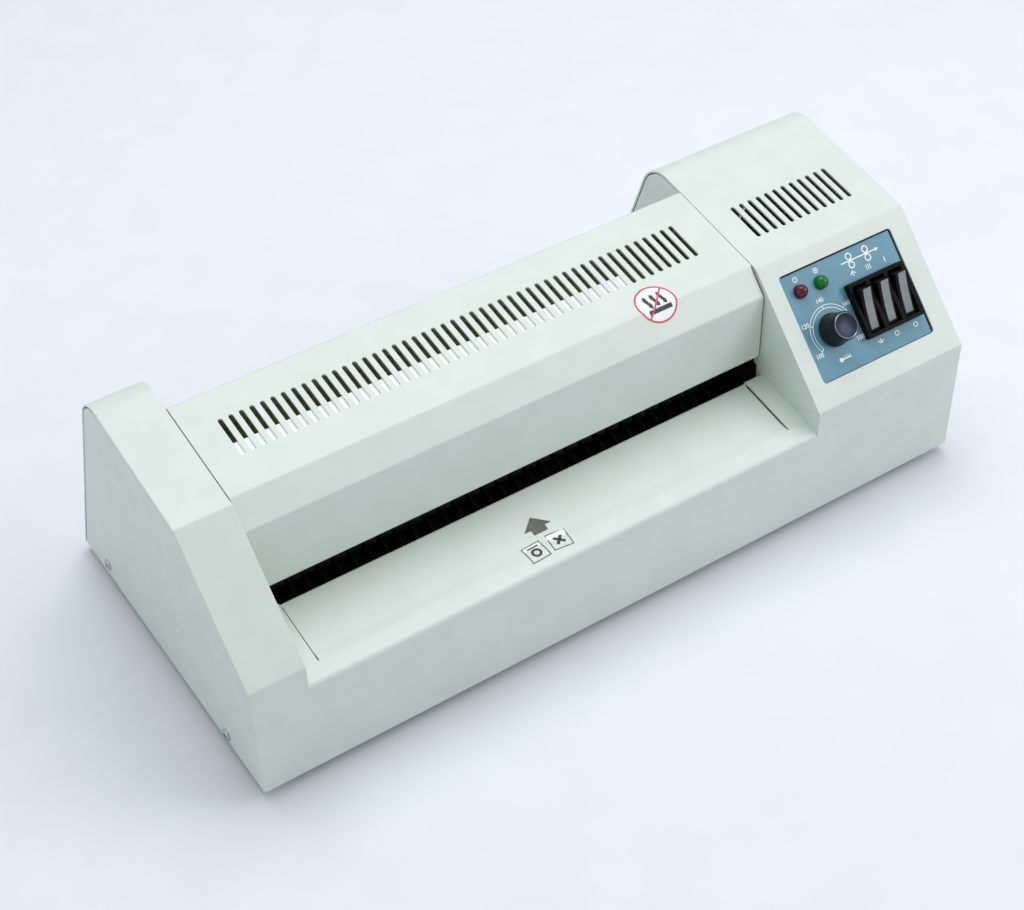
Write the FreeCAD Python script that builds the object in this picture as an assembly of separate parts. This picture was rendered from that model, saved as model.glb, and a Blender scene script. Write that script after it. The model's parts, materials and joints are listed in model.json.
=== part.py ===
import FreeCAD, Part
import math
import os

# Pouch laminator with a folded-steel casing, four heated silicone rollers, a gear motor in the
# control housing, and a control panel on the sloping face.
# X runs along the machine (left to right), Y from the feed side to the exit side, Z up.
# The origin is on the table, under the middle of the casing. All sizes are in millimetres.

# ---- casing ---------------------------------------------------------------------------------
LENGTH = 500.0          # outside of the left side plate to outside of the right one
DEPTH = 238.0           # front face to the foot of the leaning rear face
FOOT_H = 7.0            # rubber feet under the casing
SHEET = 1.2             # casing steel
FRONT_H = 82.0          # front face, from the casing's lower edge to its fold
BREAK_IN = 67.5         # fold between the slope and the top, in from the front face
BREAK_H = 149.0
TOP_IN = 175.0          # where the top and the rear face would meet, before rounding
TOP_H = 166.0
TOP_R = 22.0            # rounding between the top and the rear face
FOLD_R = 2.4            # outside radius of an ordinary fold
SEAM = 0.5              # open joint beside a plate
REAR_SEAM = 0.9         # wider joint between the plates and the rounded rear edge
END_W = 35.0            # left end cover
THROAT = 351.0          # open width between the left end cover and the control housing

# ---- feed tray, hood and exit -----------------------------------------------------------------
TRAY_H = 66.0           # tray lip above the casing's lower edge
TRAY_REAR_IN = 56.0     # rear edge of the tray, in from the front face
TRAY_RISE = 9.0         # the tray climbs this much towards the rollers
TRAY_BORDER = 12.5      # raised strip at each side of the tray
TRAY_DISH = 1.5         # depth of the dished middle
TRAY_SLIT = 0.9         # the dish is lanced along both sides
HOOD_IN = 57.5          # vertical face of the cover, in from the front face
HOOD_BREAK_IN = 71.5    # fold between the cover's short slope and its top
HOOD_FOLD_H = 135.0
HOOD_GAP_H = 88.0       # underside of the hood above the casing's lower edge
HOOD_RELIEF = 0.8       # extra clearance at the hood's right edge
COVER_REAR_IN = 144.5   # rear fold of the cover
COVER_LEAN = 9.5        # the cover's rear face leans out by this much
RAMP_H = 58.0           # fold between the leaning rear face and the exit ramp

# ---- vents --------------------------------------------------------------------------------------
SLOT_W = 3.0
SLOT_PITCH = 6.5
COVER_SLOTS = 48
COVER_SLOT_FIRST = 21.5     # first slot from the left edge of the cover
COVER_SLOT_IN = (94.0, 122.5)
TOWER_SLOTS = 12
TOWER_SLOT_FIRST = 19.5
TOWER_SLOT_IN = (88.5, 117.0)

# ---- rollers and drive --------------------------------------------------------------------------
NIP_Z = 84.0            # height of the pouch's path
ROLLER_R = 12.85        # silicone sleeve
CORE_R = 7.0            # steel core under the sleeve
JOURNAL_R = 5.0
BORE_FIT = 0.05         # radial running clearance of the journals
AXIS_GAP = 26.0         # upper axis above lower axis
FRONT_ROLLER_Y = -34.0
REAR_ROLLER_Y = 14.0
GEAR_MODULE = 1.0
ROLLER_TEETH = 26
DRIVE_TEETH = 34
GEAR_W = 8.0
MOTOR_R = 30.0
MOTOR_L = 36.0
MOTOR_OFFSET = 8.0      # the motor's shaft stands this far above its middle
FRAME_T = 2.5           # steel frame plates

# ---- control panel, measured on the slope: across X, and up the slope from the front fold ---------
FASCIA_X = (147.5, 235.3)       # window in the casing that the fascia shows through
FASCIA_V = (15.0, 85.0)
FASCIA_T = 2.0
FASCIA_TOP = -SHEET - 0.05      # the fascia lies under the casing sheet
FASCIA_LAP = 5.0
LED_V = 71.9
LED_X = (158.5, 174.3)
LED_R = 4.3
LED_RISE = 1.6          # plain height of a lens below its dome
KNOB_AT = (169.2, 42.6)
KNOB_R = 9.8
KNOB_H = 14.5
SWITCH_X = (188.0, 231.0)
SWITCH_V = (28.0, 63.8)
SWITCH_H = 5.0          # the switch frame stands this far above the fascia
ROCKER_W = 9.4
ROCKER_PITCH = 13.9
ROCKER_L = 28.0
ROCKER_TILT = 18.0      # each rocker rests with its lower end pressed

X_LEFT = -LENGTH / 2
X_RIGHT = LENGTH / 2
X_CAP = X_LEFT + END_W
X_TOWER = X_CAP + THROAT
Y_FRONT = -DEPTH / 2
Y_REAR = DEPTH / 2
Z_BASE = FOOT_H
TOP_SLOPE = math.degrees(math.atan2(TOP_H - BREAK_H, TOP_IN - BREAK_IN))
PANEL_SLOPE = math.degrees(math.atan2(BREAK_H - FRONT_H, BREAK_IN))
REAR_LEAN = math.degrees(math.atan2(DEPTH - TOP_IN, TOP_H))


def top_z(y):
    """Height of the casing's top plane at y."""
    return Z_BASE + BREAK_H + (y - Y_FRONT - BREAK_IN) * math.tan(math.radians(TOP_SLOPE))


def rear_y(z):
    """Place of the leaning rear face at height z."""
    return Y_REAR - (z - Z_BASE) * math.tan(math.radians(REAR_LEAN))


# ---- small geometry helpers -----------------------------------------------------------------------
def box(x0, x1, y0, y1, z0, z1):
    return Part.makeBox(x1 - x0, y1 - y0, z1 - z0, FreeCAD.Vector(x0, y0, z0))


def rod(axis, start, end, y, z, r):
    """A cylinder from start to end along an axis; y and z are its other two coordinates in order."""
    place = {"x": (start, y, z), "y": (y, start, z), "z": (y, z, start)}[axis]
    way = {"x": (1, 0, 0), "y": (0, 1, 0), "z": (0, 0, 1)}[axis]
    return Part.makeCylinder(r, end - start, FreeCAD.Vector(*place), FreeCAD.Vector(*way))


def union(shapes):
    first = shapes[0]
    if len(shapes) == 1:
        return first
    return first.fuse(shapes[1:]).removeSplitter()


def cut_all(shape, tools):
    return shape.cut(Part.makeCompound(tools))


def corner(before, at, after, radius):
    """Tangent points and middle of the arc that rounds one corner of an outline in Y and Z."""
    a = (FreeCAD.Vector(0, *before) - FreeCAD.Vector(0, *at)).normalize()
    b = (FreeCAD.Vector(0, *after) - FreeCAD.Vector(0, *at)).normalize()
    half = a.getAngle(b) / 2
    reach = radius / math.tan(half)
    middle = (a + b).normalize()
    centre = FreeCAD.Vector(0, *at) + middle * (radius / math.sin(half))
    return FreeCAD.Vector(0, *at) + a * reach, centre - middle * radius, FreeCAD.Vector(0, *at) + b * reach


def outline_edges(points, radii):
    """Straight runs and arcs through a list of (y, z) corners; radii has one value per inner corner."""
    edges = []
    here = FreeCAD.Vector(0, *points[0])
    for i in range(1, len(points) - 1):
        if radii[i - 1] > 0:
            start, middle, end = corner(points[i - 1], points[i], points[i + 1], radii[i - 1])
            if start.sub(here).Length > 1e-6:
                edges.append(Part.makeLine(here, start))
            edges.append(Part.Arc(start, middle, end).toShape())
            here = end
        else:
            corner_point = FreeCAD.Vector(0, *points[i])
            edges.append(Part.makeLine(here, corner_point))
            here = corner_point
    last = FreeCAD.Vector(0, *points[-1])
    if last.sub(here).Length > 1e-6:
        edges.append(Part.makeLine(here, last))
    return edges


def offset_path(points, distance):
    """The corners of a path moved sideways by distance, to the left of its direction."""
    lines = []
    for (y0, z0), (y1, z1) in zip(points, points[1:]):
        run = math.hypot(y1 - y0, z1 - z0)
        normal = (-(z1 - z0) / run * distance, (y1 - y0) / run * distance)
        lines.append(((y0 + normal[0], z0 + normal[1]), (y1 + normal[0], z1 + normal[1])))
    moved = [lines[0][0]]
    for (p, q), (r, s) in zip(lines, lines[1:]):
        d1 = (q[0] - p[0], q[1] - p[1])
        d2 = (s[0] - r[0], s[1] - r[1])
        t = ((r[0] - p[0]) * d2[1] - (r[1] - p[1]) * d2[0]) / (d1[0] * d2[1] - d1[1] * d2[0])
        moved.append((p[0] + t * d1[0], p[1] + t * d1[1]))
    moved.append(lines[-1][1])
    return moved


def turns(points):
    """+1 for each inner corner that turns left, -1 for right."""
    signs = []
    for a, b, c in zip(points, points[1:], points[2:]):
        cross = (b[0] - a[0]) * (c[1] - b[1]) - (b[1] - a[1]) * (c[0] - b[0])
        signs.append(1 if cross > 0 else -1)
    return signs


def folded_sheet(points, radii, thickness, x0, x1):
    """A bent sheet: its face follows the path, and the metal lies to the left of it (right if negative)."""
    other = offset_path(points, thickness)
    other_radii = [max(r - thickness * s, 0) for r, s in zip(radii, turns(points))]
    edges = outline_edges(points, radii)
    edges.append(Part.makeLine(FreeCAD.Vector(0, *points[-1]), FreeCAD.Vector(0, *other[-1])))
    edges += outline_edges(list(reversed(other)), list(reversed(other_radii)))
    edges.append(Part.makeLine(FreeCAD.Vector(0, *other[0]), FreeCAD.Vector(0, *points[0])))
    return prism(edges, x0, x1)


def prism(edges, x0, x1):
    face = Part.Face(Part.Wire(Part.__sortEdges__(edges)))
    face.translate(FreeCAD.Vector(x0, 0, 0))
    return face.extrude(FreeCAD.Vector(x1 - x0, 0, 0))


def plate(points, radii, x0, x1):
    """A flat plate across X with a closed outline; radii has one value per corner after the first."""
    closed = list(points) + [points[0]]
    return prism(outline_edges(closed, radii), x0, x1)


def slot(width, y0, y1, z0, z1, x):
    """A slot with round ends, cut down through Z."""
    r = width / 2
    straight = box(x - r, x + r, y0 + r, y1 - r, z0, z1)
    ends = [rod("z", z0, z1, x, y, r) for y in (y0 + r, y1 - r)]
    return union([straight] + ends)


def placed(shape, angle, x, y, z):
    """Turns a shape about X and then moves it."""
    turn = FreeCAD.Rotation(FreeCAD.Vector(1, 0, 0), angle)
    moved = shape.copy()
    moved.Placement = FreeCAD.Placement(FreeCAD.Vector(x, y, z), turn).multiply(shape.Placement)
    return moved


def on_slope(shape):
    """Flat work, with Y up the slope and Z out of it, moved onto the sloping face."""
    return placed(shape, PANEL_SLOPE, 0, Y_FRONT, Z_BASE + FRONT_H)


def on_top(shape):
    """Flat work, with Y along the top plane from its front fold and Z out of it, moved onto the top."""
    return placed(shape, TOP_SLOPE, 0, Y_FRONT + BREAK_IN, Z_BASE + BREAK_H)


def on_rear(shape):
    """Flat work, with Z out of the leaning rear face and -Y up it from its foot, moved onto it."""
    return placed(shape, REAR_LEAN - 90, 0, Y_REAR, Z_BASE)


def along_top(inset):
    """Distance along the top plane from its front fold, for a distance in from the front face."""
    return (inset - BREAK_IN) / math.cos(math.radians(TOP_SLOPE))


# ---- casing -----------------------------------------------------------------------------------------
FRONT_FOLD = (Y_FRONT, Z_BASE + FRONT_H)
BREAK_FOLD = (Y_FRONT + BREAK_IN, Z_BASE + BREAK_H)
TOP_CORNER = (Y_FRONT + TOP_IN, Z_BASE + TOP_H)
REAR_FOOT = (Y_REAR, Z_BASE)
RAMP_Z = Z_BASE + RAMP_H
FOLD_REACH = 4.0        # flat left beside a fold before the next sheet starts


def casing_strip(x0, x1):
    """Slope, top, rounding and rear face of an end, as one folded sheet."""
    low_edge = (Y_FRONT, FRONT_FOLD[1] - FOLD_REACH)
    path = [low_edge, FRONT_FOLD, BREAK_FOLD, TOP_CORNER, (rear_y(RAMP_Z), RAMP_Z)]
    return folded_sheet(path, [FOLD_R, FOLD_R, TOP_R], -SHEET, x0, x1)


def rear_edge_strip(x0, x1):
    """The part of the folded sheet that runs out over a side plate, from the rounding down."""
    start = corner(BREAK_FOLD, TOP_CORNER, REAR_FOOT, TOP_R)[0]
    path = [(start.y, start.z), TOP_CORNER, (rear_y(RAMP_Z), RAMP_Z)]
    return folded_sheet(path, [TOP_R], -SHEET, x0, x1)


def left_end_cover():
    return union([casing_strip(X_LEFT + SHEET, X_CAP), rear_edge_strip(X_LEFT, X_LEFT + SHEET)])


def control_housing():
    shell = union([casing_strip(X_TOWER, X_RIGHT - SHEET), rear_edge_strip(X_RIGHT - SHEET, X_RIGHT)])
    window = rounded_block(FASCIA_X, FASCIA_V, (-4, 4), 2.5)
    slots = []
    for i in range(TOWER_SLOTS):
        x = X_TOWER + TOWER_SLOT_FIRST + i * SLOT_PITCH
        slots.append(slot(SLOT_W, along_top(TOWER_SLOT_IN[0]), along_top(TOWER_SLOT_IN[1]), -4, 4, x))
    return cut_all(shell, [on_slope(window)] + [on_top(s) for s in slots])


SIDE_SCREWS = [(-76.0, 14.0), (80.0, 18.0)]     # (y, z) of the screws in each side plate
SCREW_R = 2.0
HEAD_R = 3.8
HEAD_H = 1.6


def side_plate(x0, x1):
    """Side plate: flush with the folds at the front and top, set in by a seam at the rounding and rear."""
    gap = SHEET + REAR_SEAM
    tangent = corner(BREAK_FOLD, TOP_CORNER, REAR_FOOT, TOP_R)
    inner = offset_path([BREAK_FOLD, TOP_CORNER, REAR_FOOT], -gap)
    arc = corner(inner[0], inner[1], inner[2], TOP_R - gap)
    foot = (rear_y(Z_BASE) - gap / math.cos(math.radians(REAR_LEAN)), Z_BASE)
    outline = [(Y_FRONT, Z_BASE), FRONT_FOLD, BREAK_FOLD, (tangent[0].y, tangent[0].z)]
    edges = outline_edges(outline, [FOLD_R, FOLD_R])
    edges.append(Part.makeLine(tangent[0], arc[0]))
    edges.append(Part.Arc(arc[0], arc[1], arc[2]).toShape())
    edges.append(Part.makeLine(arc[2], FreeCAD.Vector(0, *foot)))
    edges.append(Part.makeLine(FreeCAD.Vector(0, *foot), FreeCAD.Vector(0, Y_FRONT, Z_BASE)))
    return cut_all(prism(edges, x0, x1), [rod("x", x0 - 1, x1 + 1, y, z, SCREW_R) for y, z in SIDE_SCREWS])


WALL_WINDOW = (-54.0, 28.0, 56.0, 124.0)    # y and z limits of the opening for the rollers
PAN_LIP_H = 15.0


def inner_wall(x0, x1):
    """Wall beside the throat, with a window that the rollers pass through."""
    lip_top = Z_BASE + PAN_LIP_H + 2
    floor = Z_BASE + SHEET
    outline = [(Y_FRONT, Z_BASE), FRONT_FOLD, BREAK_FOLD, TOP_CORNER, REAR_FOOT]
    inside = offset_path(outline, -SHEET)
    set_in = SHEET + REAR_SEAM
    rear_corner = offset_path(outline, -set_in)[3]
    lean = set_in / math.cos(math.radians(REAR_LEAN))
    rear_low = rear_y(lip_top) - lean
    notch = 3.0
    points = [(inside[0][0], lip_top), inside[1], inside[2], rear_corner, (rear_low, lip_top),
              (rear_low - notch, lip_top), (rear_low - notch, floor), (inside[0][0] + notch, floor),
              (inside[0][0] + notch, lip_top)]
    bend = FOLD_R - SHEET
    wall = plate(points, [bend, bend, TOP_R - set_in, 0, 0, 0, 0, 0], x0, x1)
    y0, y1, z0, z1 = WALL_WINDOW
    rod_holes = [rod("x", x0 - 1, x1 + 1, y, z, TIE_R + SEAM) for y, z in TIE_RODS]
    return cut_all(wall, [box(x0 - 1, x1 + 1, y0, y1, z0, z1)] + rod_holes)


def front_panel():
    """Flat front face, stepped down between the end cover and the control housing."""
    x0, x1 = X_LEFT + SHEET, X_RIGHT - SHEET
    low = Z_BASE + TRAY_H - 5
    high = FRONT_FOLD[1] - FOLD_REACH
    middle = box(x0, x1, Y_FRONT, Y_FRONT + SHEET, Z_BASE, low)
    ends = [box(a, b, Y_FRONT, Y_FRONT + SHEET, low, high) for a, b in ((x0, X_CAP), (X_TOWER, x1))]
    return union([middle] + ends)


def base_pan():
    """Bottom plate with turned-up lips at the front and rear, and cooling slots under the heaters."""
    lean = SHEET / math.cos(math.radians(REAR_LEAN))
    y0 = Y_FRONT + SHEET
    lip = Z_BASE + PAN_LIP_H
    path = [(y0, lip), (y0, Z_BASE), (rear_y(Z_BASE) - lean, Z_BASE), (rear_y(lip) - lean, lip)]
    pan = folded_sheet(path, [FOLD_R, FOLD_R], SHEET, X_LEFT + SHEET, X_RIGHT - SHEET)
    cuts = []
    for row in (-52.0, 32.0):
        for i in range(24):
            cuts.append(slot(SLOT_W, row - 12, row + 12, Z_BASE - 1, Z_BASE + 3, -189.0 + i * 13.0))
    cuts += [rod("z", Z_BASE - 1, Z_BASE + 3, x, y, SCREW_R) for x, y in FEET + FRAME_SCREWS]
    return cut_all(pan, cuts)


RAMP_END = (34.5, NIP_Z - 5.5)  # front edge of the exit ramp, in Y and Z
RAMP_FLANGE = 12.0
GLAND_AT = (214.0, 34.0)        # across X, and up the leaning rear face
FUSE_AT = (186.0, 34.0)
GLAND_HOLE_R = 8.0
FUSE_HOLE_R = 6.5


def rear_panel():
    """Leaning rear face, below the ends' folded sheets and the exit ramp."""
    panel = folded_sheet([REAR_FOOT, (rear_y(RAMP_Z), RAMP_Z)], [], SHEET, X_LEFT, X_RIGHT)
    tools = [rod("z", -4, 4, x, -v, r) for (x, v), r in ((GLAND_AT, GLAND_HOLE_R), (FUSE_AT, FUSE_HOLE_R))]
    for i in range(10):
        tools.append(slot(SLOT_W, -46.0, -22.0, -4, 4, -150.0 + i * 2 * SLOT_PITCH))
        tools.append(slot(SLOT_W, -46.0, -22.0, -4, 4, 5.0 + i * 2 * SLOT_PITCH))
    return cut_all(panel, [on_rear(t) for t in tools])


def exit_ramp():
    """Ramp behind the rollers, lapped inside the top of the rear panel."""
    inside = (SHEET + 0.05) / math.cos(math.radians(REAR_LEAN))
    low = RAMP_Z - RAMP_FLANGE
    path = [(rear_y(low) - inside, low), (rear_y(RAMP_Z) - inside, RAMP_Z), RAMP_END]
    return folded_sheet(path, [FOLD_R], SHEET, X_CAP, X_TOWER)


def cover_rear_y(z):
    """Outside of the cover's rear face at height z."""
    top = top_z(Y_FRONT + COVER_REAR_IN)
    low = Z_BASE + HOOD_GAP_H + 2
    return Y_FRONT + COVER_REAR_IN + COVER_LEAN * (top - z) / (top - low)


COVER_SCREWS = (-170.0, -40.0, 90.0)
COVER_SCREW_Z = 128.0


def on_cover_rear(shape, x):
    """Work with Z out of the cover's rear face, moved to the place of a screw in it."""
    lean = math.degrees(math.atan2(COVER_LEAN, top_z(Y_FRONT + COVER_REAR_IN) - Z_BASE - HOOD_GAP_H - 2))
    return placed(shape, lean - 90, x, cover_rear_y(COVER_SCREW_Z), COVER_SCREW_Z)


def centre_cover():
    """Slotted cover over the rollers, from the hood's hem to the exit side."""
    x0, x1 = X_CAP + SEAM, X_TOWER - SEAM
    hood_y = Y_FRONT + HOOD_IN
    hem_z = Z_BASE + HOOD_GAP_H
    exit_z = hem_z + 2
    break_y = Y_FRONT + HOOD_BREAK_IN
    rear = Y_FRONT + COVER_REAR_IN
    path = [(hood_y + 7, hem_z), (hood_y, hem_z), (hood_y, Z_BASE + HOOD_FOLD_H), (break_y, top_z(break_y)),
            (rear, top_z(rear)), (cover_rear_y(exit_z), exit_z)]
    cover = folded_sheet(path, [1.6, FOLD_R, FOLD_R, FOLD_R], -SHEET, x0, x1)
    tools = []
    for i in range(COVER_SLOTS):
        x = X_CAP + COVER_SLOT_FIRST + i * SLOT_PITCH
        tools.append(on_top(slot(SLOT_W, along_top(COVER_SLOT_IN[0]), along_top(COVER_SLOT_IN[1]), -4, 4, x)))
    tools += [on_cover_rear(rod("z", -5, 5, 0, 0, SCREW_R), x) for x in COVER_SCREWS]
    nick = 5.0          # radius of the hood's two lower corners
    for x, side in ((x0, 1), (x1, -1)):
        low, high = sorted((x, x + side * nick))
        edge = box(low, high, hood_y - 1, hood_y + 9, hem_z - 1, hem_z + nick)
        tools.append(edge.cut(rod("y", hood_y - 2, hood_y + 10, x + side * nick, hem_z + nick, nick)))
    tools.append(box(x1 - HOOD_RELIEF, x1 + 1, hood_y - 1, break_y, hem_z - 1, top_z(break_y) + 1))
    return cut_all(cover, tools)


def cover_liner():
    """White strip riveted under the front of the cover's slots."""
    inset = (86.0, 104.5)       # from the front face, as the slots are
    reach = (9.0, 277.0)        # from the cover's left edge
    under = SHEET + 0.05
    y0, y1 = along_top(inset[0]), along_top(inset[1])
    return on_top(box(X_CAP + reach[0], X_CAP + reach[1], y0, y1, -under - 1.0, -under))


def heat_shield():
    """Bent shield between the upper rollers and the cover, held by the cover's screws."""
    inside = SHEET + 0.1
    low, high = COVER_SCREW_Z - 7, COVER_SCREW_Z + 6
    path = [(cover_rear_y(low) - inside, low), (cover_rear_y(high) - inside, high),
            (FRONT_ROLLER_Y - 6, high - 3), (FRONT_ROLLER_Y - 18, low - 4)]
    shield = folded_sheet(path, [2.0, 2.0], 0.8, X_CAP + 2, X_TOWER - 2)
    return cut_all(shield, [on_cover_rear(rod("z", -5, 5, 0, 0, SCREW_R), x) for x in COVER_SCREWS])


def feed_tray():
    """Rising tray with raised borders and a dished middle, folded over the front face."""
    lip_z = Z_BASE + TRAY_H
    rear = Y_FRONT + TRAY_REAR_IN
    lip_r = 3.0
    border = [(Y_FRONT, lip_z - 5), (Y_FRONT, lip_z),
              (rear, lip_z + TRAY_RISE), (rear + 1.5, lip_z + TRAY_RISE - 6)]
    step = 11.0
    step_z = lip_z + TRAY_RISE * step / TRAY_REAR_IN
    dish = [(Y_FRONT, lip_z - 5), (Y_FRONT, lip_z), (Y_FRONT + step, step_z), (Y_FRONT + step + 8, step_z),
            (rear, lip_z + TRAY_RISE - TRAY_DISH), (rear + 1.5, lip_z + TRAY_RISE - TRAY_DISH - 5)]
    sides = [folded_sheet(border, [lip_r, 1.6], -SHEET, X_CAP, X_CAP + TRAY_BORDER),
             folded_sheet(border, [lip_r, 1.6], -SHEET, X_TOWER - TRAY_BORDER, X_TOWER)]
    middle = folded_sheet(dish, [lip_r, 20.0, 20.0, 1.6], -SHEET, X_CAP + TRAY_BORDER, X_TOWER - TRAY_BORDER)
    slits = []
    for x in (X_CAP + TRAY_BORDER, X_TOWER - TRAY_BORDER - TRAY_SLIT):
        slits.append(box(x, x + TRAY_SLIT, Y_FRONT + step + 1.5, rear - 1.8, lip_z - 5, lip_z + 15))
    return cut_all(union([middle] + sides), slits)


def entry_guide_lower():
    """Black ribbed guide from the tray to the front rollers, with a stepped cheek at each end."""
    x0, x1 = X_CAP + 0.6, X_TOWER - 0.6
    y0, y1 = Y_FRONT + TRAY_REAR_IN + 1.6, FRONT_ROLLER_Y - 14.3
    cheek = 10.0
    slab = box(x0, x1, y0, y1, 71.0, 76.0)
    pieces = [slab]
    for low, high in ((x0, x0 + cheek), (x1 - cheek, x1)):
        pieces.append(box(low, high, y0 + 2, y1, 75.0, NIP_Z + 3))
    pieces.append(box(x0, x0 + cheek / 2, y0 + 5, y1, NIP_Z, NIP_Z + 9))
    pieces.append(box(x1 - cheek / 2, x1, y0 + 5, y1, NIP_Z, NIP_Z + 9))
    rib_pitch = 10.0
    first = x0 + cheek + 3
    for i in range(int((x1 - cheek - 2 - first) / rib_pitch) + 1):
        x = first + i * rib_pitch
        points = [(y0, 74.0), (y0, 77.5), (y0 + 4, NIP_Z - 2.6), (y1, NIP_Z - 2.6), (y1, 74.0)]
        pieces.append(plate(points, [0, 0, 0, 0], x, x + 1.6))
    return union(pieces)


def entry_guide_upper():
    """Black bar behind the hood that keeps the pouch down."""
    y0, y1 = Y_FRONT + HOOD_IN + 7.5, FRONT_ROLLER_Y - 14.3
    points = [(y0, NIP_Z + 9), (y1, NIP_Z + 5.6), (y1, NIP_Z + 14), (y0, NIP_Z + 14)]
    return plate(points, [0, 0, 0], X_CAP + 6, X_TOWER - 6)


# ---- frame ------------------------------------------------------------------------------------------
LEFT_FRAME_X = (X_CAP - 4.5, X_CAP - 4.5 + FRAME_T)
RIGHT_FRAME_X = (X_TOWER + 2.5, X_TOWER + 2.5 + FRAME_T)
LOWER_Z = NIP_Z - AXIS_GAP / 2
UPPER_Z = NIP_Z + AXIS_GAP / 2
ROLLER_YS = (FRONT_ROLLER_Y, REAR_ROLLER_Y)
BUSH_R = 8.0
BLOCK = (8.0, 7.6)          # half width and half height of the sprung bearing blocks
GUIDE_HALF = 8.3            # half width of the slots that the blocks sit in
GUIDE_TOP = 120.0
FRAME_FLANGE = 13.0
FEET = [(-225.0, -96.0), (225.0, -96.0), (-225.0, 94.0), (225.0, 94.0)]
FRAME_SCREWS = [(x, y) for x in (LEFT_FRAME_X[0] - 7, RIGHT_FRAME_X[1] + 7) for y in (-44.0, 26.0)]
TIE_RODS = [(-52.5, 62.0), (34.0, 56.0), (-10.0, 34.0), (-10.0, 117.5)]
TIE_R = 4.0


def frame_plate(span, outward):
    """Steel plate that carries the roller bearings, with a foot turned outwards."""
    x0, x1 = span
    floor = Z_BASE + SHEET
    points = [(-58, floor), (-58, 104), (-46, 122), (24, 122), (40, 100), (40, floor)]
    body = plate(points, [4, 6, 6, 4, 0], x0, x1)
    foot_x = (x0 - FRAME_FLANGE, x0) if outward < 0 else (x1, x1 + FRAME_FLANGE)
    foot = box(foot_x[0], foot_x[1], -54, 36, floor, floor + FRAME_T)
    tools = []
    for y in ROLLER_YS:
        tools.append(rod("x", x0 - 1, x1 + 1, y, LOWER_Z, BUSH_R))
        tools.append(box(x0 - 1, x1 + 1, y - GUIDE_HALF, y + GUIDE_HALF, UPPER_Z - 8.4, GUIDE_TOP))
    for x, y in FRAME_SCREWS:
        tools.append(rod("z", floor - 1, floor + 4, x, y, SCREW_R))
    return cut_all(union([body, foot]), tools)


def frame_spans():
    return (LEFT_FRAME_X, 1), (RIGHT_FRAME_X, -1)


def lower_bushes():
    """Flanged bronze bushes for the lower rollers; the flange faces the rollers."""
    pieces = []
    for (x0, x1), inward in frame_spans():
        for y in ROLLER_YS:
            body = rod("x", x0 - 1, x1 + 1, y, LOWER_Z, BUSH_R)
            start = x1 if inward > 0 else x0 - 1
            flange = rod("x", start, start + 1, y, LOWER_Z, BUSH_R + 1.6)
            bore = rod("x", x0 - 3, x1 + 3, y, LOWER_Z, JOURNAL_R + BORE_FIT)
            pieces.append(union([body, flange]).cut(bore))
    return Part.makeCompound(pieces)


def bearing_blocks():
    """Sliding blocks that the springs press down, one at each end of each upper roller."""
    pieces = []
    for (x0, x1), _ in frame_spans():
        for y in ROLLER_YS:
            body = box(x0 - 1.5, x1 + 1.5, y - BLOCK[0], y + BLOCK[0], UPPER_Z - BLOCK[1], UPPER_Z + BLOCK[1])
            pieces.append(body.cut(rod("x", x0 - 3, x1 + 3, y, UPPER_Z, JOURNAL_R + BORE_FIT)))
    return Part.makeCompound(pieces)


def pressure_springs():
    """Coil springs between the bearing blocks and the tops of their slots, as rings of wire."""
    pieces = []
    wire_r = 0.7
    coils = 6
    bottom = UPPER_Z + BLOCK[1]
    pitch = (GUIDE_TOP - bottom) / coils
    for (x0, x1), _ in frame_spans():
        for y in ROLLER_YS:
            for i in range(coils):
                z = bottom + (i + 0.5) * pitch
                pieces.append(Part.makeTorus(3.6, wire_r, FreeCAD.Vector((x0 + x1) / 2, y, z)))
    return Part.makeCompound(pieces)


def tie_rods():
    x0, x1 = LEFT_FRAME_X[1], RIGHT_FRAME_X[0]
    return Part.makeCompound([rod("x", x0, x1, y, z, TIE_R) for y, z in TIE_RODS])


# ---- rollers and gears --------------------------------------------------------------------------------
SHAFT_X = (LEFT_FRAME_X[0] - 3.0, RIGHT_FRAME_X[1] + 14.0)
CORE_X = (X_CAP + 2.5, X_TOWER - 2.0)
SLEEVE_X = (X_CAP + 7.0, X_TOWER - 7.0)
GEAR_X = RIGHT_FRAME_X[1] + 4.5
DRIVE_AT = ((FRONT_ROLLER_Y + REAR_ROLLER_Y) / 2,
            LOWER_Z - math.sqrt(((ROLLER_TEETH + DRIVE_TEETH) * GEAR_MODULE / 2) ** 2
                                - ((REAR_ROLLER_Y - FRONT_ROLLER_Y) / 2) ** 2))
PRESSURE_ANGLE = math.radians(20)
BACKLASH = 0.92         # tooth thickness as a share of half the pitch


def shaft(y, z):
    core = rod("x", CORE_X[0], CORE_X[1], y, z, CORE_R)
    journal = rod("x", SHAFT_X[0], SHAFT_X[1], y, z, JOURNAL_R)
    return union([core, journal])


def sleeve(y, z):
    outside = rod("x", SLEEVE_X[0], SLEEVE_X[1], y, z, ROLLER_R)
    return outside.cut(rod("x", SLEEVE_X[0] - 1, SLEEVE_X[1] + 1, y, z, CORE_R))


def tooth_half_angle(teeth, r):
    """Half the angle that a tooth covers at radius r, on an involute flank."""
    pitch_r = teeth * GEAR_MODULE / 2
    base_r = pitch_r * math.cos(PRESSURE_ANGLE)
    at_pitch = math.pi / (2 * teeth) * BACKLASH
    here = math.acos(min(1.0, base_r / r))
    return at_pitch + (math.tan(PRESSURE_ANGLE) - PRESSURE_ANGLE) - (math.tan(here) - here)


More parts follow.
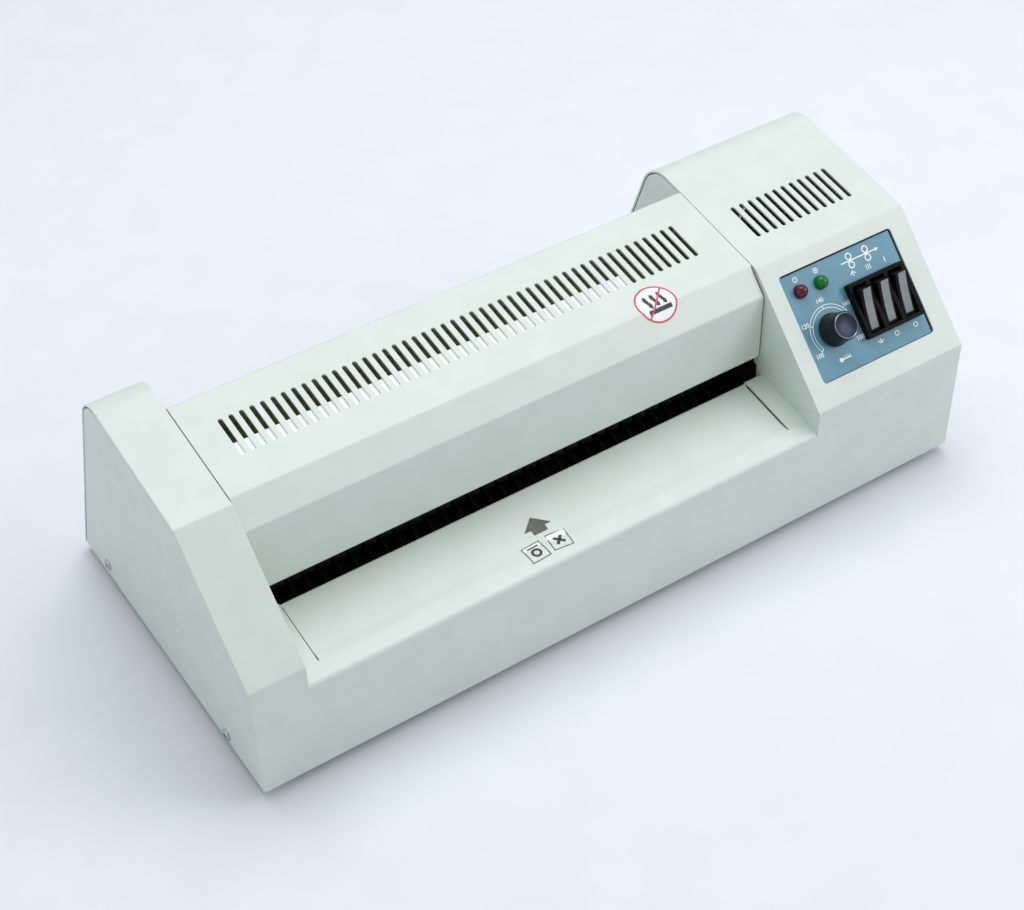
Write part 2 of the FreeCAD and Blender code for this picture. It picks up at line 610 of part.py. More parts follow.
def gear(teeth, y, z, first_tooth, bore_r):
    """Spur gear across X with a tooth centred at the angle first_tooth, measured from +Y towards +Z."""
    pitch_r = teeth * GEAR_MODULE / 2
    root_r = pitch_r - 1.2 * GEAR_MODULE
    base_r = pitch_r * math.cos(PRESSURE_ANGLE)
    tip_r = pitch_r + 0.95 * GEAR_MODULE
    flank_steps = 4
    points = []
    for tooth in range(teeth):
        middle = first_tooth + tooth * 2 * math.pi / teeth
        flank = [(root_r, tooth_half_angle(teeth, base_r))]
        for i in range(flank_steps + 1):
            r = base_r + (tip_r - base_r) * i / flank_steps
            flank.append((r, tooth_half_angle(teeth, r)))
        for r, half in flank:
            points.append((r, middle - half))
        for r, half in reversed(flank):
            points.append((r, middle + half))
    corners = [FreeCAD.Vector(GEAR_X, y + r * math.cos(a), z + r * math.sin(a)) for r, a in points]
    wheel = Part.Face(Part.makePolygon(corners + [corners[0]])).extrude(FreeCAD.Vector(GEAR_W, 0, 0))
    hub = rod("x", GEAR_X - 1.5, GEAR_X, y, z, 7.5)
    return union([wheel, hub]).cut(rod("x", GEAR_X - 3, GEAR_X + GEAR_W + 1, y, z, bore_r))


def meshed_phase(teeth_a, phase_a, centre_a, teeth_b, centre_b):
    """Angle of a tooth on gear b that is in mesh with gear a."""
    way = math.atan2(centre_b[1] - centre_a[1], centre_b[0] - centre_a[0])
    pitches = (way - phase_a) * teeth_a / (2 * math.pi)
    return way + math.pi + (pitches + 0.5) * 2 * math.pi / teeth_b


def gear_train():
    """The five gears, in mesh, by name."""
    front_low, front_up = (FRONT_ROLLER_Y, LOWER_Z), (FRONT_ROLLER_Y, UPPER_Z)
    rear_low, rear_up = (REAR_ROLLER_Y, LOWER_Z), (REAR_ROLLER_Y, UPPER_Z)
    n = ROLLER_TEETH
    phase_front = 0.0
    phase_front_up = meshed_phase(n, phase_front, front_low, n, front_up)
    phase_drive = meshed_phase(n, phase_front, front_low, DRIVE_TEETH, DRIVE_AT)
    phase_rear = meshed_phase(DRIVE_TEETH, phase_drive, DRIVE_AT, n, rear_low)
    phase_rear_up = meshed_phase(n, phase_rear, rear_low, n, rear_up)
    return {"front_lower_gear": gear(n, front_low[0], front_low[1], phase_front, JOURNAL_R),
            "front_upper_gear": gear(n, front_up[0], front_up[1], phase_front_up, JOURNAL_R),
            "rear_lower_gear": gear(n, rear_low[0], rear_low[1], phase_rear, JOURNAL_R),
            "rear_upper_gear": gear(n, rear_up[0], rear_up[1], phase_rear_up, JOURNAL_R),
            "drive_gear": gear(DRIVE_TEETH, DRIVE_AT[0], DRIVE_AT[1], phase_drive, 4.0)}


# ---- motor --------------------------------------------------------------------------------------------
MOTOR_X = GEAR_X + GEAR_W + 6.0
MOTOR_AT = (DRIVE_AT[0], DRIVE_AT[1] - MOTOR_OFFSET)
MOTOR_POSTS = [(DRIVE_AT[0] + dy, 24.0) for dy in (-38.0, 38.0)]
MOTOR_SHAFT_R = 4.0


def motor_bracket():
    x0, x1 = MOTOR_X - 2.0, MOTOR_X
    y, z = MOTOR_AT
    body = box(x0, x1, y - 44, y + 44, Z_BASE + SHEET, z + 34)
    foot = box(x1, x1 + 12, y - 44, y + 44, Z_BASE + SHEET, Z_BASE + SHEET + 2)
    hole = rod("x", x0 - 1, x1 + 1, DRIVE_AT[0], DRIVE_AT[1], 6.0)
    return union([body, foot]).cut(hole)


def motor():
    """Round synchronous gear motor with a flat gearbox at the shaft end and a terminal pad."""
    y, z = MOTOR_AT
    foot_gap = 2.0
    can = rod("x", MOTOR_X, MOTOR_X + MOTOR_L, y, z, MOTOR_R)
    rim = rod("x", MOTOR_X + 14, MOTOR_X + 16, y, z, MOTOR_R + 1.2)
    pad = box(MOTOR_X + 20, MOTOR_X + 32, y - 12, y + 12, z + MOTOR_R - 3, z + MOTOR_R + 5)
    below = box(MOTOR_X - 1, MOTOR_X + MOTOR_L + 1, y - 40, y + 40, 0, Z_BASE + SHEET + foot_gap)
    bore = rod("x", MOTOR_X - 1, MOTOR_X + 6, DRIVE_AT[0], DRIVE_AT[1], MOTOR_SHAFT_R + BORE_FIT)
    return cut_all(union([can, rim, pad]), [below, bore])


def motor_shaft():
    return rod("x", GEAR_X - 2.0, MOTOR_X + 5.0, DRIVE_AT[0], DRIVE_AT[1], MOTOR_SHAFT_R)


# ---- heaters ----------------------------------------------------------------------------------------
HEATER_Y = (-17.5, -2.5)
HEATER_T = 8.0
HEATER_GAP = 1.6            # free height over and under the pouch's path
HEATER_X = (X_CAP + 2.0, X_TOWER - 1.5)


def heater_plate(side):
    """Aluminium heating bar with bevelled mouths; side is +1 above the path and -1 below it."""
    near = NIP_Z + side * HEATER_GAP
    far = near + side * HEATER_T
    bevel = 1.5
    y0, y1 = HEATER_Y
    mouth = near + side * bevel
    points = [(y0, mouth), (y0 + 2 * bevel, near), (y1 - 2 * bevel, near), (y1, mouth), (y1, far), (y0, far)]
    return plate(points, [0, 0, 0, 0, 0], HEATER_X[0], HEATER_X[1])


def heater_brackets():
    z0, z1 = NIP_Z - HEATER_GAP - HEATER_T, NIP_Z + HEATER_GAP + HEATER_T
    left = box(LEFT_FRAME_X[1], HEATER_X[0], HEATER_Y[0] + 2, HEATER_Y[1] - 2, z0, z1)
    right = box(HEATER_X[1], RIGHT_FRAME_X[0], HEATER_Y[0] + 2, HEATER_Y[1] - 2, z0, z1)
    return Part.makeCompound([left, right])


def thermal_cutouts():
    """Disc thermostat and thermal fuse on the upper heating bar."""
    top = NIP_Z + HEATER_GAP + HEATER_T
    y = (HEATER_Y[0] + HEATER_Y[1]) / 2
    disc = union([rod("z", top, top + 5, -60.0, y, 8.0), rod("z", top + 5, top + 9, -60.0, y, 6.0)])
    fuse = rod("x", 20.0, 34.0, y, top + 2.2, 2.2)
    return Part.makeCompound([disc, fuse])


# ---- electronics --------------------------------------------------------------------------------------
BOARD_X = (236.0, 237.6)
BOARD_Y = (-70.0, 24.0)
BOARD_Z = (24.0, 92.0)


def control_board():
    holes = [rod("x", BOARD_X[0] - 1, BOARD_X[1] + 1, y, z, SCREW_R) for y, z in board_corners()]
    return cut_all(box(BOARD_X[0], BOARD_X[1], BOARD_Y[0], BOARD_Y[1], BOARD_Z[0], BOARD_Z[1]), holes)


def board_corners():
    inset = 5.0
    heights = (BOARD_Z[0] + inset, BOARD_Z[1] - inset)
    return [(y, z) for y in (BOARD_Y[0] + inset, BOARD_Y[1] - inset) for z in heights]


def board_parts():
    """Transformer, relay, capacitors and terminal strip on the control board."""
    x1 = BOARD_X[0]
    transformer = box(x1 - 26, x1, -62, -32, 34, 66)
    relay = box(x1 - 16, x1, -26, -7, 34, 50)
    terminals = box(x1 - 11, x1, -20, 18, 78, 88)
    drums = [rod("x", x1 - 17, x1, y, 60, 5.0) for y in (-22.0, -8.0, 8.0)]
    return Part.makeCompound([transformer, relay, terminals] + drums)


def standoffs():
    """Spacers behind the control board and between the motor bracket and the frame."""
    pieces = [rod("x", BOARD_X[1], X_RIGHT - SHEET, y, z, 3.5) for y, z in board_corners()]
    pieces += [rod("x", RIGHT_FRAME_X[1], MOTOR_X - 2.0, y, z, 4.0) for y, z in MOTOR_POSTS]
    return Part.makeCompound(pieces)


def cord_gland():
    """Panel gland for the mains lead, and its nut inside the casing."""
    x, v = GLAND_AT
    bore_r = 4.0
    nut_r = 11.5
    tube = rod("z", -12.0, 0, x, -v, GLAND_HOLE_R)
    flange = rod("z", 0, 3.0, x, -v, 11.0)
    collar = rod("z", 3.0, 8.0, x, -v, 7.5)
    bush = union([tube, flange, collar])
    corners = []
    for i in range(7):
        a = math.radians(60 * i)
        corners.append(FreeCAD.Vector(x + nut_r * math.cos(a), -v + nut_r * math.sin(a), -6.0))
    nut = Part.Face(Part.makePolygon(corners)).extrude(FreeCAD.Vector(0, 0, 6.0 - SHEET))
    nut = nut.cut(rod("z", -14, 0, x, -v, GLAND_HOLE_R))
    bush = bush.cut(rod("z", -14, 10, x, -v, bore_r))
    return Part.makeCompound([on_rear(bush), on_rear(nut)])


def fuse_holder():
    x, v = FUSE_AT
    tube = rod("z", -24.0, 0, x, -v, FUSE_HOLE_R)
    flange = rod("z", 0, 2.0, x, -v, 8.5)
    cap = rod("z", 2.0, 7.0, x, -v, 5.5)
    return on_rear(union([tube, flange, cap]))


# ---- control panel --------------------------------------------------------------------------------------
def rounded_block(x, y, z, r):
    """A block with its four upright corners rounded; x, y and z are its limits."""
    block = box(x[0], x[1], y[0], y[1], z[0], z[1])
    upright = [e for e in block.Edges if abs(e.Vertexes[0].Z - e.Vertexes[1].Z) > 1e-6]
    return block.makeFillet(r, upright)


def control_fascia():
    under, over = FASCIA_TOP - FASCIA_T - 1, FASCIA_TOP + 1
    x = (FASCIA_X[0] - FASCIA_LAP, FASCIA_X[1] + FASCIA_LAP)
    v = (FASCIA_V[0] - FASCIA_LAP, FASCIA_V[1] + FASCIA_LAP)
    panel = rounded_block(x, v, (FASCIA_TOP - FASCIA_T, FASCIA_TOP), 3.0)
    inset = 1.5
    tools = [rod("z", under, over, x, LED_V, LED_R) for x in LED_X]
    tools.append(rod("z", under, over, KNOB_AT[0], KNOB_AT[1], 4.0))
    switch_x = (SWITCH_X[0] + inset, SWITCH_X[1] - inset)
    switch_v = (SWITCH_V[0] + inset, SWITCH_V[1] - inset)
    tools.append(box(switch_x[0], switch_x[1], switch_v[0], switch_v[1], under, over))
    return on_slope(cut_all(panel, tools))


def rocker_xs():
    middle = (SWITCH_X[0] + SWITCH_X[1]) / 2
    return [middle + k * ROCKER_PITCH for k in (-1, 0, 1)]


ROCKER_V = (SWITCH_V[0] + SWITCH_V[1]) / 2
PIVOT_W = FASCIA_TOP + 1.5      # height of the rockers' pivots above the slope
WELL_HALF = (5.5, 15.4)         # half width and half length of the well around each rocker
PIN_R = 1.2                     # the rockers' pivot pins
PIN_REACH = 0.6                 # how far each pin enters the wall beside its well


def well(x, z0, z1):
    return box(x - WELL_HALF[0], x + WELL_HALF[0], ROCKER_V - WELL_HALF[1], ROCKER_V + WELL_HALF[1], z0, z1)


def switch_frame():
    """Raised black frame with a well for each rocker."""
    block = rounded_block(SWITCH_X, SWITCH_V, (FASCIA_TOP, FASCIA_TOP + SWITCH_H), 1.5)
    cuts = [well(x, FASCIA_TOP - 1, FASCIA_TOP + SWITCH_H + 1) for x in rocker_xs()]
    for x in rocker_xs():
        reach = WELL_HALF[0] + PIN_REACH + 0.05
        cuts.append(rod("x", x - reach, x + reach, ROCKER_V, PIVOT_W, PIN_R + BORE_FIT))
    return on_slope(cut_all(block, cuts))


def switch_bodies():
    """Three switch bodies behind the frame, each hollow under its rocker, with two blades."""
    pieces = []
    wall = 0.5
    floor, back, tips = FASCIA_TOP - 10, FASCIA_TOP - 20, FASCIA_TOP - 28
    half_x, half_v = WELL_HALF[0] + wall, WELL_HALF[1] + wall
    for x in rocker_xs():
        body = box(x - half_x, x + half_x, ROCKER_V - half_v, ROCKER_V + half_v, back, FASCIA_TOP)
        blades = []
        for v in (ROCKER_V - 8.0, ROCKER_V + 8.0):
            blades.append(box(x - 2.4, x + 2.4, v - 0.4, v + 0.4, tips, back))
        pieces.append(union([body.cut(well(x, floor, FASCIA_TOP + 1))] + blades))
    return Part.makeCompound([on_slope(p) for p in pieces])


def rocker(x):
    """Rocker with a hollow along its top and a pin at each side, resting with its lower end pressed."""
    half = ROCKER_L / 2
    top = 5.2
    low = 0.5
    hollow = 1.0
    belly = -5.0
    corners = [FreeCAD.Vector(0, y, z) for y, z in ((-half, low), (-half, top), (half, top), (half, low))]
    crown = Part.Arc(corners[1], FreeCAD.Vector(0, 0, top - hollow), corners[2]).toShape()
    keel = Part.Arc(corners[3], FreeCAD.Vector(0, 0, belly), corners[0]).toShape()
    sides = [Part.makeLine(corners[0], corners[1]), Part.makeLine(corners[2], corners[3])]
    block = prism([crown, keel] + sides, x - ROCKER_W / 2, x + ROCKER_W / 2)
    reach = WELL_HALF[0] + PIN_REACH
    body = union([block, rod("x", x - reach, x + reach, 0, 0, PIN_R)])
    tilted = placed(body, ROCKER_TILT, 0, ROCKER_V, PIVOT_W)
    return on_slope(tilted)


KNOB_BASE_W = FASCIA_TOP + 0.8
KNOB_SEAT_R = KNOB_R - 1.5      # recess in the knob's end that the cap is pressed into
KNOB_SEAT_DEPTH = 0.8
SPINDLE_R = 3.0


def potentiometer():
    x, v = KNOB_AT
    shoulder = FASCIA_TOP - FASCIA_T
    back = shoulder - 9
    body = union([rod("z", back, shoulder, x, v, 8.5), rod("z", shoulder, FASCIA_TOP + 0.4, x, v, 3.8)])
    lugs = [box(x + dx - 1, x + dx + 1, v - 14, v - 7, back + 3.6, back + 4.4) for dx in (-4.0, 0.0, 4.0)]
    return on_slope(union([body] + lugs).cut(rod("z", back - 1, FASCIA_TOP + 1, x, v, SPINDLE_R + BORE_FIT)))


def knob():
    """Black knob with a flared skirt and a moulded spindle."""
    x, v = KNOB_AT
    up = FreeCAD.Vector(0, 0, 1)
    skirt_h = 3.5
    waist_r = KNOB_R - 0.4
    skirt = Part.makeCone(KNOB_R + 0.9, waist_r, skirt_h, FreeCAD.Vector(x, v, KNOB_BASE_W), up)
    waist = FreeCAD.Vector(x, v, KNOB_BASE_W + skirt_h)
    grip = Part.makeCone(waist_r, KNOB_R - 0.9, KNOB_H - skirt_h, waist, up)
    spindle = rod("z", FASCIA_TOP - 9, KNOB_BASE_W, x, v, SPINDLE_R)
    end = KNOB_BASE_W + KNOB_H
    seat = rod("z", end - KNOB_SEAT_DEPTH, end + 1, x, v, KNOB_SEAT_R)
    return on_slope(union([skirt, grip, spindle]).cut(seat))


def knob_cap():
    x, v = KNOB_AT
    floor = KNOB_BASE_W + KNOB_H - KNOB_SEAT_DEPTH
    return on_slope(rod("z", floor, floor + 1.0, x, v, KNOB_SEAT_R - BORE_FIT))


def led(x):
    """Domed lens with a plain stem through the fascia."""
    r = LED_R - 0.05
    stem = rod("z", FASCIA_TOP - 8, FASCIA_TOP + LED_RISE, x, LED_V, r)
    dome = Part.makeSphere(r, FreeCAD.Vector(x, LED_V, FASCIA_TOP + LED_RISE))
    return on_slope(union([stem, dome]))


# ---- feet and screws --------------------------------------------------------------------------------------
FOOT_R = 11.0
FOOT_COUNTERBORE = 3.0      # depth of the screw head's recess


def feet():
    pieces = []
    for x, y in FEET:
        body = Part.makeCone(FOOT_R - 1.5, FOOT_R, FOOT_H, FreeCAD.Vector(x, y, 0), FreeCAD.Vector(0, 0, 1))
        holes = [rod("z", -1, FOOT_COUNTERBORE, x, y, 5.0), rod("z", -1, FOOT_H + 1, x, y, SCREW_R)]
        pieces.append(cut_all(body, holes))
    return Part.makeCompound(pieces)


def pan_head_screw(length=5.0):
    """Screw standing on the plane Z = 0, with its shank below; the head is a low dome with a cross."""
    head = rod("z", 0, HEAD_H, 0, 0, HEAD_R)
    rim = [e for e in head.Edges if e.Vertexes[0].Z > HEAD_H - 1e-6 and e.Curve.TypeId == "Part::GeomCircle"]
    head = head.makeFillet(1.1, rim)
    shank = rod("z", -length, 0, 0, 0, SCREW_R)
    cross = [box(-a, a, -b, b, HEAD_H - 0.9, HEAD_H + 1) for a, b in ((2.0, 0.4), (0.4, 2.0))]
    return cut_all(union([head, shank]), cross)


def pan_head_screws():
    """Screws in the side plates, the cover's rear face, the frame plates' feet and the rubber feet."""
    pieces = []
    for y, z in SIDE_SCREWS:
        for x, way in ((X_LEFT, -90), (X_RIGHT, 90)):
            piece = pan_head_screw()
            sideways = FreeCAD.Rotation(FreeCAD.Vector(0, 1, 0), way)
            piece.Placement = FreeCAD.Placement(FreeCAD.Vector(x, y, z), sideways)
            pieces.append(piece)
    pieces += [on_cover_rear(pan_head_screw(), x) for x in COVER_SCREWS]
    for x, y in FRAME_SCREWS:
        pieces.append(placed(pan_head_screw(), 0, x, y, Z_BASE + SHEET + FRAME_T))
    for x, y in FEET:
        pieces.append(placed(pan_head_screw(9.0), 180, x, y, FOOT_COUNTERBORE))
    return Part.makeCompound(pieces)


def build():
    """Every piece by name."""
    front_low, front_up = (FRONT_ROLLER_Y, LOWER_Z), (FRONT_ROLLER_Y, UPPER_Z)
    rear_low, rear_up = (REAR_ROLLER_Y, LOWER_Z), (REAR_ROLLER_Y, UPPER_Z)
    pieces = {
        "front_panel": front_panel(),
        "base_pan": base_pan(),
        "rear_panel": rear_panel(),
        "exit_ramp": exit_ramp(),
        "left_end_cover": left_end_cover(),
        "left_side_plate": side_plate(X_LEFT, X_LEFT + SHEET),
        "left_inner_wall": inner_wall(X_CAP - SHEET, X_CAP),
        "control_housing": control_housing(),
        "right_side_plate": side_plate(X_RIGHT - SHEET, X_RIGHT),
        "right_inner_wall": inner_wall(X_TOWER, X_TOWER + SHEET),
        "centre_cover": centre_cover(),
        "cover_liner": cover_liner(),
        "heat_shield": heat_shield(),
        "feed_tray": feed_tray(),
        "entry_guide_lower": entry_guide_lower(),
        "entry_guide_upper": entry_guide_upper(),
        "left_frame_plate": frame_plate(LEFT_FRAME_X, -1),
        "right_frame_plate": frame_plate(RIGHT_FRAME_X, 1),
        "tie_rods": tie_rods(),
        "lower_bushes": lower_bushes(),
        "bearing_blocks": bearing_blocks(),
        "pressure_springs": pressure_springs(),
        "motor_bracket": motor_bracket(),
        "motor": motor(),
        "motor_shaft": motor_shaft(),
        "upper_heater_plate": heater_plate(1),
        "lower_heater_plate": heater_plate(-1),
        "heater_brackets": heater_brackets(),
        "thermal_cutouts": thermal_cutouts(),
        "control_board": control_board(),
        "board_parts": board_parts(),
        "standoffs": standoffs(),
        "cord_gland": cord_gland(),
        "fuse_holder": fuse_holder(),
        "control_fascia": control_fascia(),
        "switch_frame": switch_frame(),
        "switch_bodies": switch_bodies(),
        "potentiometer": potentiometer(),
        "knob": knob(),
        "knob_cap": knob_cap(),
        "red_lamp": led(LED_X[0]),
        "green_lamp": led(LED_X[1]),
        "feet": feet(),
        "pan_head_screws": pan_head_screws(),
        "front_lower_shaft": shaft(*front_low),
        "front_upper_shaft": shaft(*front_up),
        "rear_lower_shaft": shaft(*rear_low),
        "rear_upper_shaft": shaft(*rear_up),
        "front_lower_sleeve": sleeve(*front_low),
        "front_upper_sleeve": sleeve(*front_up),
        "rear_lower_sleeve": sleeve(*rear_low),
        "rear_upper_sleeve": sleeve(*rear_up),
    }
    for name, x in zip(("left_rocker", "middle_rocker", "right_rocker"), rocker_xs()):
        pieces[name] = rocker(x)
    pieces.update(gear_train())
    return pieces


os.makedirs("parts", exist_ok=True)
for name, shape in build().items():
    if not shape.isValid():
        print("not valid:", name)
    shape.exportStep("parts/" + name + ".step")
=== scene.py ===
import json
import math
import bmesh
import bpy
from mathutils import Matrix, Vector
from mathutils.bvhtree import BVHTree


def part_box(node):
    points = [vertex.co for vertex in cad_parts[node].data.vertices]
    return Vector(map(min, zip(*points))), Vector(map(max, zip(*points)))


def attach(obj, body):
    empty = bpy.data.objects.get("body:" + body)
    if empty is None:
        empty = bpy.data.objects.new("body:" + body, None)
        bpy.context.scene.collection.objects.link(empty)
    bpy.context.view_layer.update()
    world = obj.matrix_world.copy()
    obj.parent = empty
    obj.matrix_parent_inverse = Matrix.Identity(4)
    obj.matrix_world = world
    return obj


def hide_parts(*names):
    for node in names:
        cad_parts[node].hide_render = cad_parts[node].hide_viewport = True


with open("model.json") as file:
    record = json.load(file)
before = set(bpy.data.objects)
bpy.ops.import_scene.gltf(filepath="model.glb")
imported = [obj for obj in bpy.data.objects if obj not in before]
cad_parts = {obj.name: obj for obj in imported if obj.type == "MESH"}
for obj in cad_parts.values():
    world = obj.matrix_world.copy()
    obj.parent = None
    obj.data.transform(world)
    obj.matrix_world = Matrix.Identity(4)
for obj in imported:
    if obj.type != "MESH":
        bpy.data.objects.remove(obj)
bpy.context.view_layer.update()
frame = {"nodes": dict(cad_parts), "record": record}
MM = 0.001


# ---- materials ------------------------------------------------------------------------------
def tone(code):
    """An sRGB hex colour as the linear RGBA that the shaders want."""
    parts = [int(code[i:i + 2], 16) / 255 for i in (1, 3, 5)]
    return tuple(p / 12.92 if p <= 0.04045 else ((p + 0.055) / 1.055) ** 2.4 for p in parts) + (1.0,)


def per_mm(size):
    """Scale of a noise whose features are to be size millimetres wide."""
    return 1 / (size * MM)


def add(tree, kind, inputs=(), **settings):
    """Adds a node. inputs pairs a socket with a value, or with another node's output to link."""
    made = tree.nodes.new(kind)
    for name, value in settings.items():
        setattr(made, name, value)
    for socket, value in dict(inputs).items():
        if isinstance(value, bpy.types.NodeSocket):
            tree.links.new(value, made.inputs[socket])
        else:
            made.inputs[socket].default_value = value
    return made


def begin(name):
    """A new material with its tree emptied, and the Object coordinates in metres."""
    material = bpy.data.materials.new(name)
    material.use_nodes = True
    tree = material.node_tree
    tree.nodes.clear()
    place = add(tree, "ShaderNodeTexCoord").outputs["Object"]
    return material, tree, place


def close(tree, shader):
    """Sends the shader to the material's output."""
    add(tree, "ShaderNodeOutputMaterial", {"Surface": shader.outputs[0]})


GLOSS_DRIFT = 0.06      # how far the roughness strays either way
BROAD = 14              # the clouds of colour are this many times wider than the grain


def finish(name, base, other, roughness, grain, bump, metallic=0.0, stretch=(1, 1, 1), **extra):
    """A surface whose colour and gloss drift between two close tones, with a fine relief.
    grain is the size of the relief in millimetres, and bump its height in millimetres."""
    material, tree, place = begin(name)
    aligned = add(tree, "ShaderNodeMapping", {"Vector": place, "Scale": stretch}).outputs[0]
    broad = add(tree, "ShaderNodeTexNoise", {
        "Vector": aligned, "Scale": per_mm(grain * BROAD), "Detail": 5.0})
    fine = add(tree, "ShaderNodeTexNoise", {"Vector": aligned, "Scale": per_mm(grain), "Detail": 3.0})
    drift = add(tree, "ShaderNodeMapRange", {0: broad.outputs[0], 1: 0.4, 2: 0.6})
    colour = add(tree, "ShaderNodeMix", {0: drift.outputs[0], 6: tone(base), 7: tone(other)},
                 data_type="RGBA")
    gloss = add(tree, "ShaderNodeMapRange", {0: fine.outputs[0], 1: 0.3, 2: 0.7, 3: roughness - GLOSS_DRIFT,
                                             4: roughness + GLOSS_DRIFT})
    relief = add(tree, "ShaderNodeBump", {"Height": fine.outputs[0], "Distance": bump * MM})
    inputs = {"Base Color": colour.outputs[2], "Roughness": gloss.outputs[0], "Metallic": metallic,
              "Normal": relief.outputs[0]}
    inputs.update(extra)
    close(tree, add(tree, "ShaderNodeBsdfPrincipled", inputs))
    return material


# Steel with a baked ivory powder coat: satin, with the soft ripple that the melted powder leaves.
# The real ripple is about 0.8 mm wide; it is drawn 1.6 mm wide so that it shows.
PAINT = finish("powder_coated_steel", "#D2DBD4", "#CFD8D0", 0.42, 1.6, 0.010,
               **{"Specular IOR Level": 0.45})
# White stove enamel on the strip under the slots: brighter and glossier than the casing.
ENAMEL = finish("white_stove_enamel", "#F4F6F2", "#EEF1EC", 0.28, 2.0, 0.004)
# Zinc-plated steel: pale grey with faint bluish and straw clouds.
ZINC = finish("zinc_plated_steel", "#B9BEC2", "#AEB0A6", 0.36, 0.9, 0.006, metallic=1.0)
# Olive-passivated zinc on the shield under the slots: yellow-green and dull.
OLIVE = finish("olive_passivated_steel", "#B9BA7C", "#A8A96C", 0.55, 0.9, 0.006, metallic=0.2)
# Centreless-ground steel bar: bright, with marks that run round it and so look like fine rings.
GROUND = finish("ground_steel", "#C6C8C9", "#B4B7B9", 0.24, 0.5, 0.004, metallic=1.0, stretch=(6, 1, 1))
# Moulded silicone sleeve, ground true: dull and almost black.
SILICONE = finish("ground_silicone_rubber", "#1B1B1D", "#232325", 0.62, 0.6, 0.012)
# Black ABS from a spark-eroded mould: dull, with a fine even grain.
BLACK = finish("spark_textured_black_abs", "#121315", "#1A1B1E", 0.48, 0.45, 0.012)
# Glass-filled black nylon of the guides, duller and darker than the ABS: partly painted shade, so the mouth
# reads as black.
GUIDE_BLACK = finish("black_nylon_with_painted_mouth_shade", "#040404", "#070707", 0.9, 0.6, 0.012,
                     **{"Specular IOR Level": 0.12})
# Black polyamide of the switches, smoother than the ABS: nearly jet as painted shade, so the wells look deep.
SWITCH_BLACK = finish("black_polyamide_with_painted_well_shade", "#030304", "#060607", 0.6, 0.45, 0.008,
                      **{"Specular IOR Level": 0.15})
# Phenolic moulding of the knob: deep black with a soft shine along its flutes.
KNOB_BLACK = finish("polished_black_phenolic", "#050506", "#09090B", 0.34, 1.2, 0.004,
                    **{"Specular IOR Level": 0.35})
# Grey ABS from a satin mould, on the rockers' faces.
GREY = finish("satin_grey_abs", "#848D90", "#7D8689", 0.52, 0.5, 0.008)
# Natural nylon gears: milky, a little translucent at the thin edges.
NYLON = finish("moulded_natural_nylon", "#D9D5C4", "#CFCAB7", 0.42, 0.8, 0.008,
               **{"Subsurface Weight": 0.15, "Subsurface Radius": (0.002, 0.0018, 0.0012),
                  "Subsurface Scale": 1.0})
# Oil-filled sintered bronze: brown-gold and slightly porous.
BRONZE = finish("sintered_bronze", "#9B7A4A", "#7F6238", 0.46, 0.35, 0.016, metallic=1.0)
# Extruded aluminium bar: drawn lines along its length.
ALUMINIUM = finish("extruded_aluminium", "#C9CCCE", "#BABDC0", 0.34, 0.5, 0.006, metallic=1.0,
                   stretch=(0.05, 1, 1))
# Machined paper phenolic under the heating bars: red-brown with a fibrous mottle.
PAPER_PHENOLIC = finish("machined_paper_phenolic", "#4E2D1C", "#3E2316", 0.55, 0.5, 0.010)
# Green solder resist over glass cloth: deep green with a slight shine.
BOARD = finish("solder_masked_board", "#1F5B33", "#256A3D", 0.30, 0.7, 0.006)
# Screen-printed satin film of the fascia: blue-grey with a faint print grain.
FASCIA = finish("screen_printed_polyester", "#52879B", "#568BA0", 0.36, 0.9, 0.003)
# Sawn black laminate, the fascia's core: dark and dull where its cut edge shows.
FASCIA_EDGE = finish("sawn_black_laminate", "#1E2A2F", "#26343A", 0.5, 0.5, 0.01)
# Moulded black rubber of the feet: dull, with no clear highlight.
RUBBER = finish("moulded_black_rubber", "#18181A", "#202022", 0.72, 0.7, 0.02)
# Screen inks: slightly raised, flat in colour and dull.
WHITE_INK = finish("white_screen_ink", "#FAFCFC", "#F0F4F5", 0.5, 0.4, 0.004)
RED_INK = finish("red_screen_ink", "#D8485E", "#CF3F55", 0.45, 0.5, 0.004)
DARK_INK = finish("dark_olive_screen_ink", "#2F332A", "#3A3E33", 0.5, 0.5, 0.004)
ARROW_INK = finish("grey_olive_screen_ink", "#63655A", "#575A4F", 0.55, 0.5, 0.004)
PALE_INK = finish("pale_grey_screen_ink", "#EEF2F2", "#E8ECEC", 0.5, 0.5, 0.004)


def lens(name, deep, painted_light_tone):
    """Injection-moulded tinted acrylic: a deep unlit colour in clouds with a lighter tone that is painted
    light, the glow of the dome's lit middle, and one small sharp highlight.
    """
    material, tree, place = begin(name)
    cloud = add(tree, "ShaderNodeTexNoise", {"Vector": place, "Scale": per_mm(3.0), "Detail": 2.0})
    colour = add(tree, "ShaderNodeMix", {0: cloud.outputs[0], 6: tone(deep), 7: tone(painted_light_tone)}, data_type="RGBA")
    close(tree, add(tree, "ShaderNodeBsdfPrincipled", {
        "Base Color": colour.outputs[2], "Roughness": 0.08, "IOR": 1.49, "Specular IOR Level": 0.4,
        "Coat Weight": 0.1, "Coat Roughness": 0.03}))
    return material


RED_LENS = lens("tinted_red_acrylic", "#3E001A", "#6C052E")
GREEN_LENS = lens("tinted_green_acrylic", "#064812", "#178029")


RING_PITCH = 0.987      # millimetres between the tool's marks; real ones are finer, and these are drawn to show
WAVE_RATE = 20          # the wave texture's radians per unit of length at a scale of 1


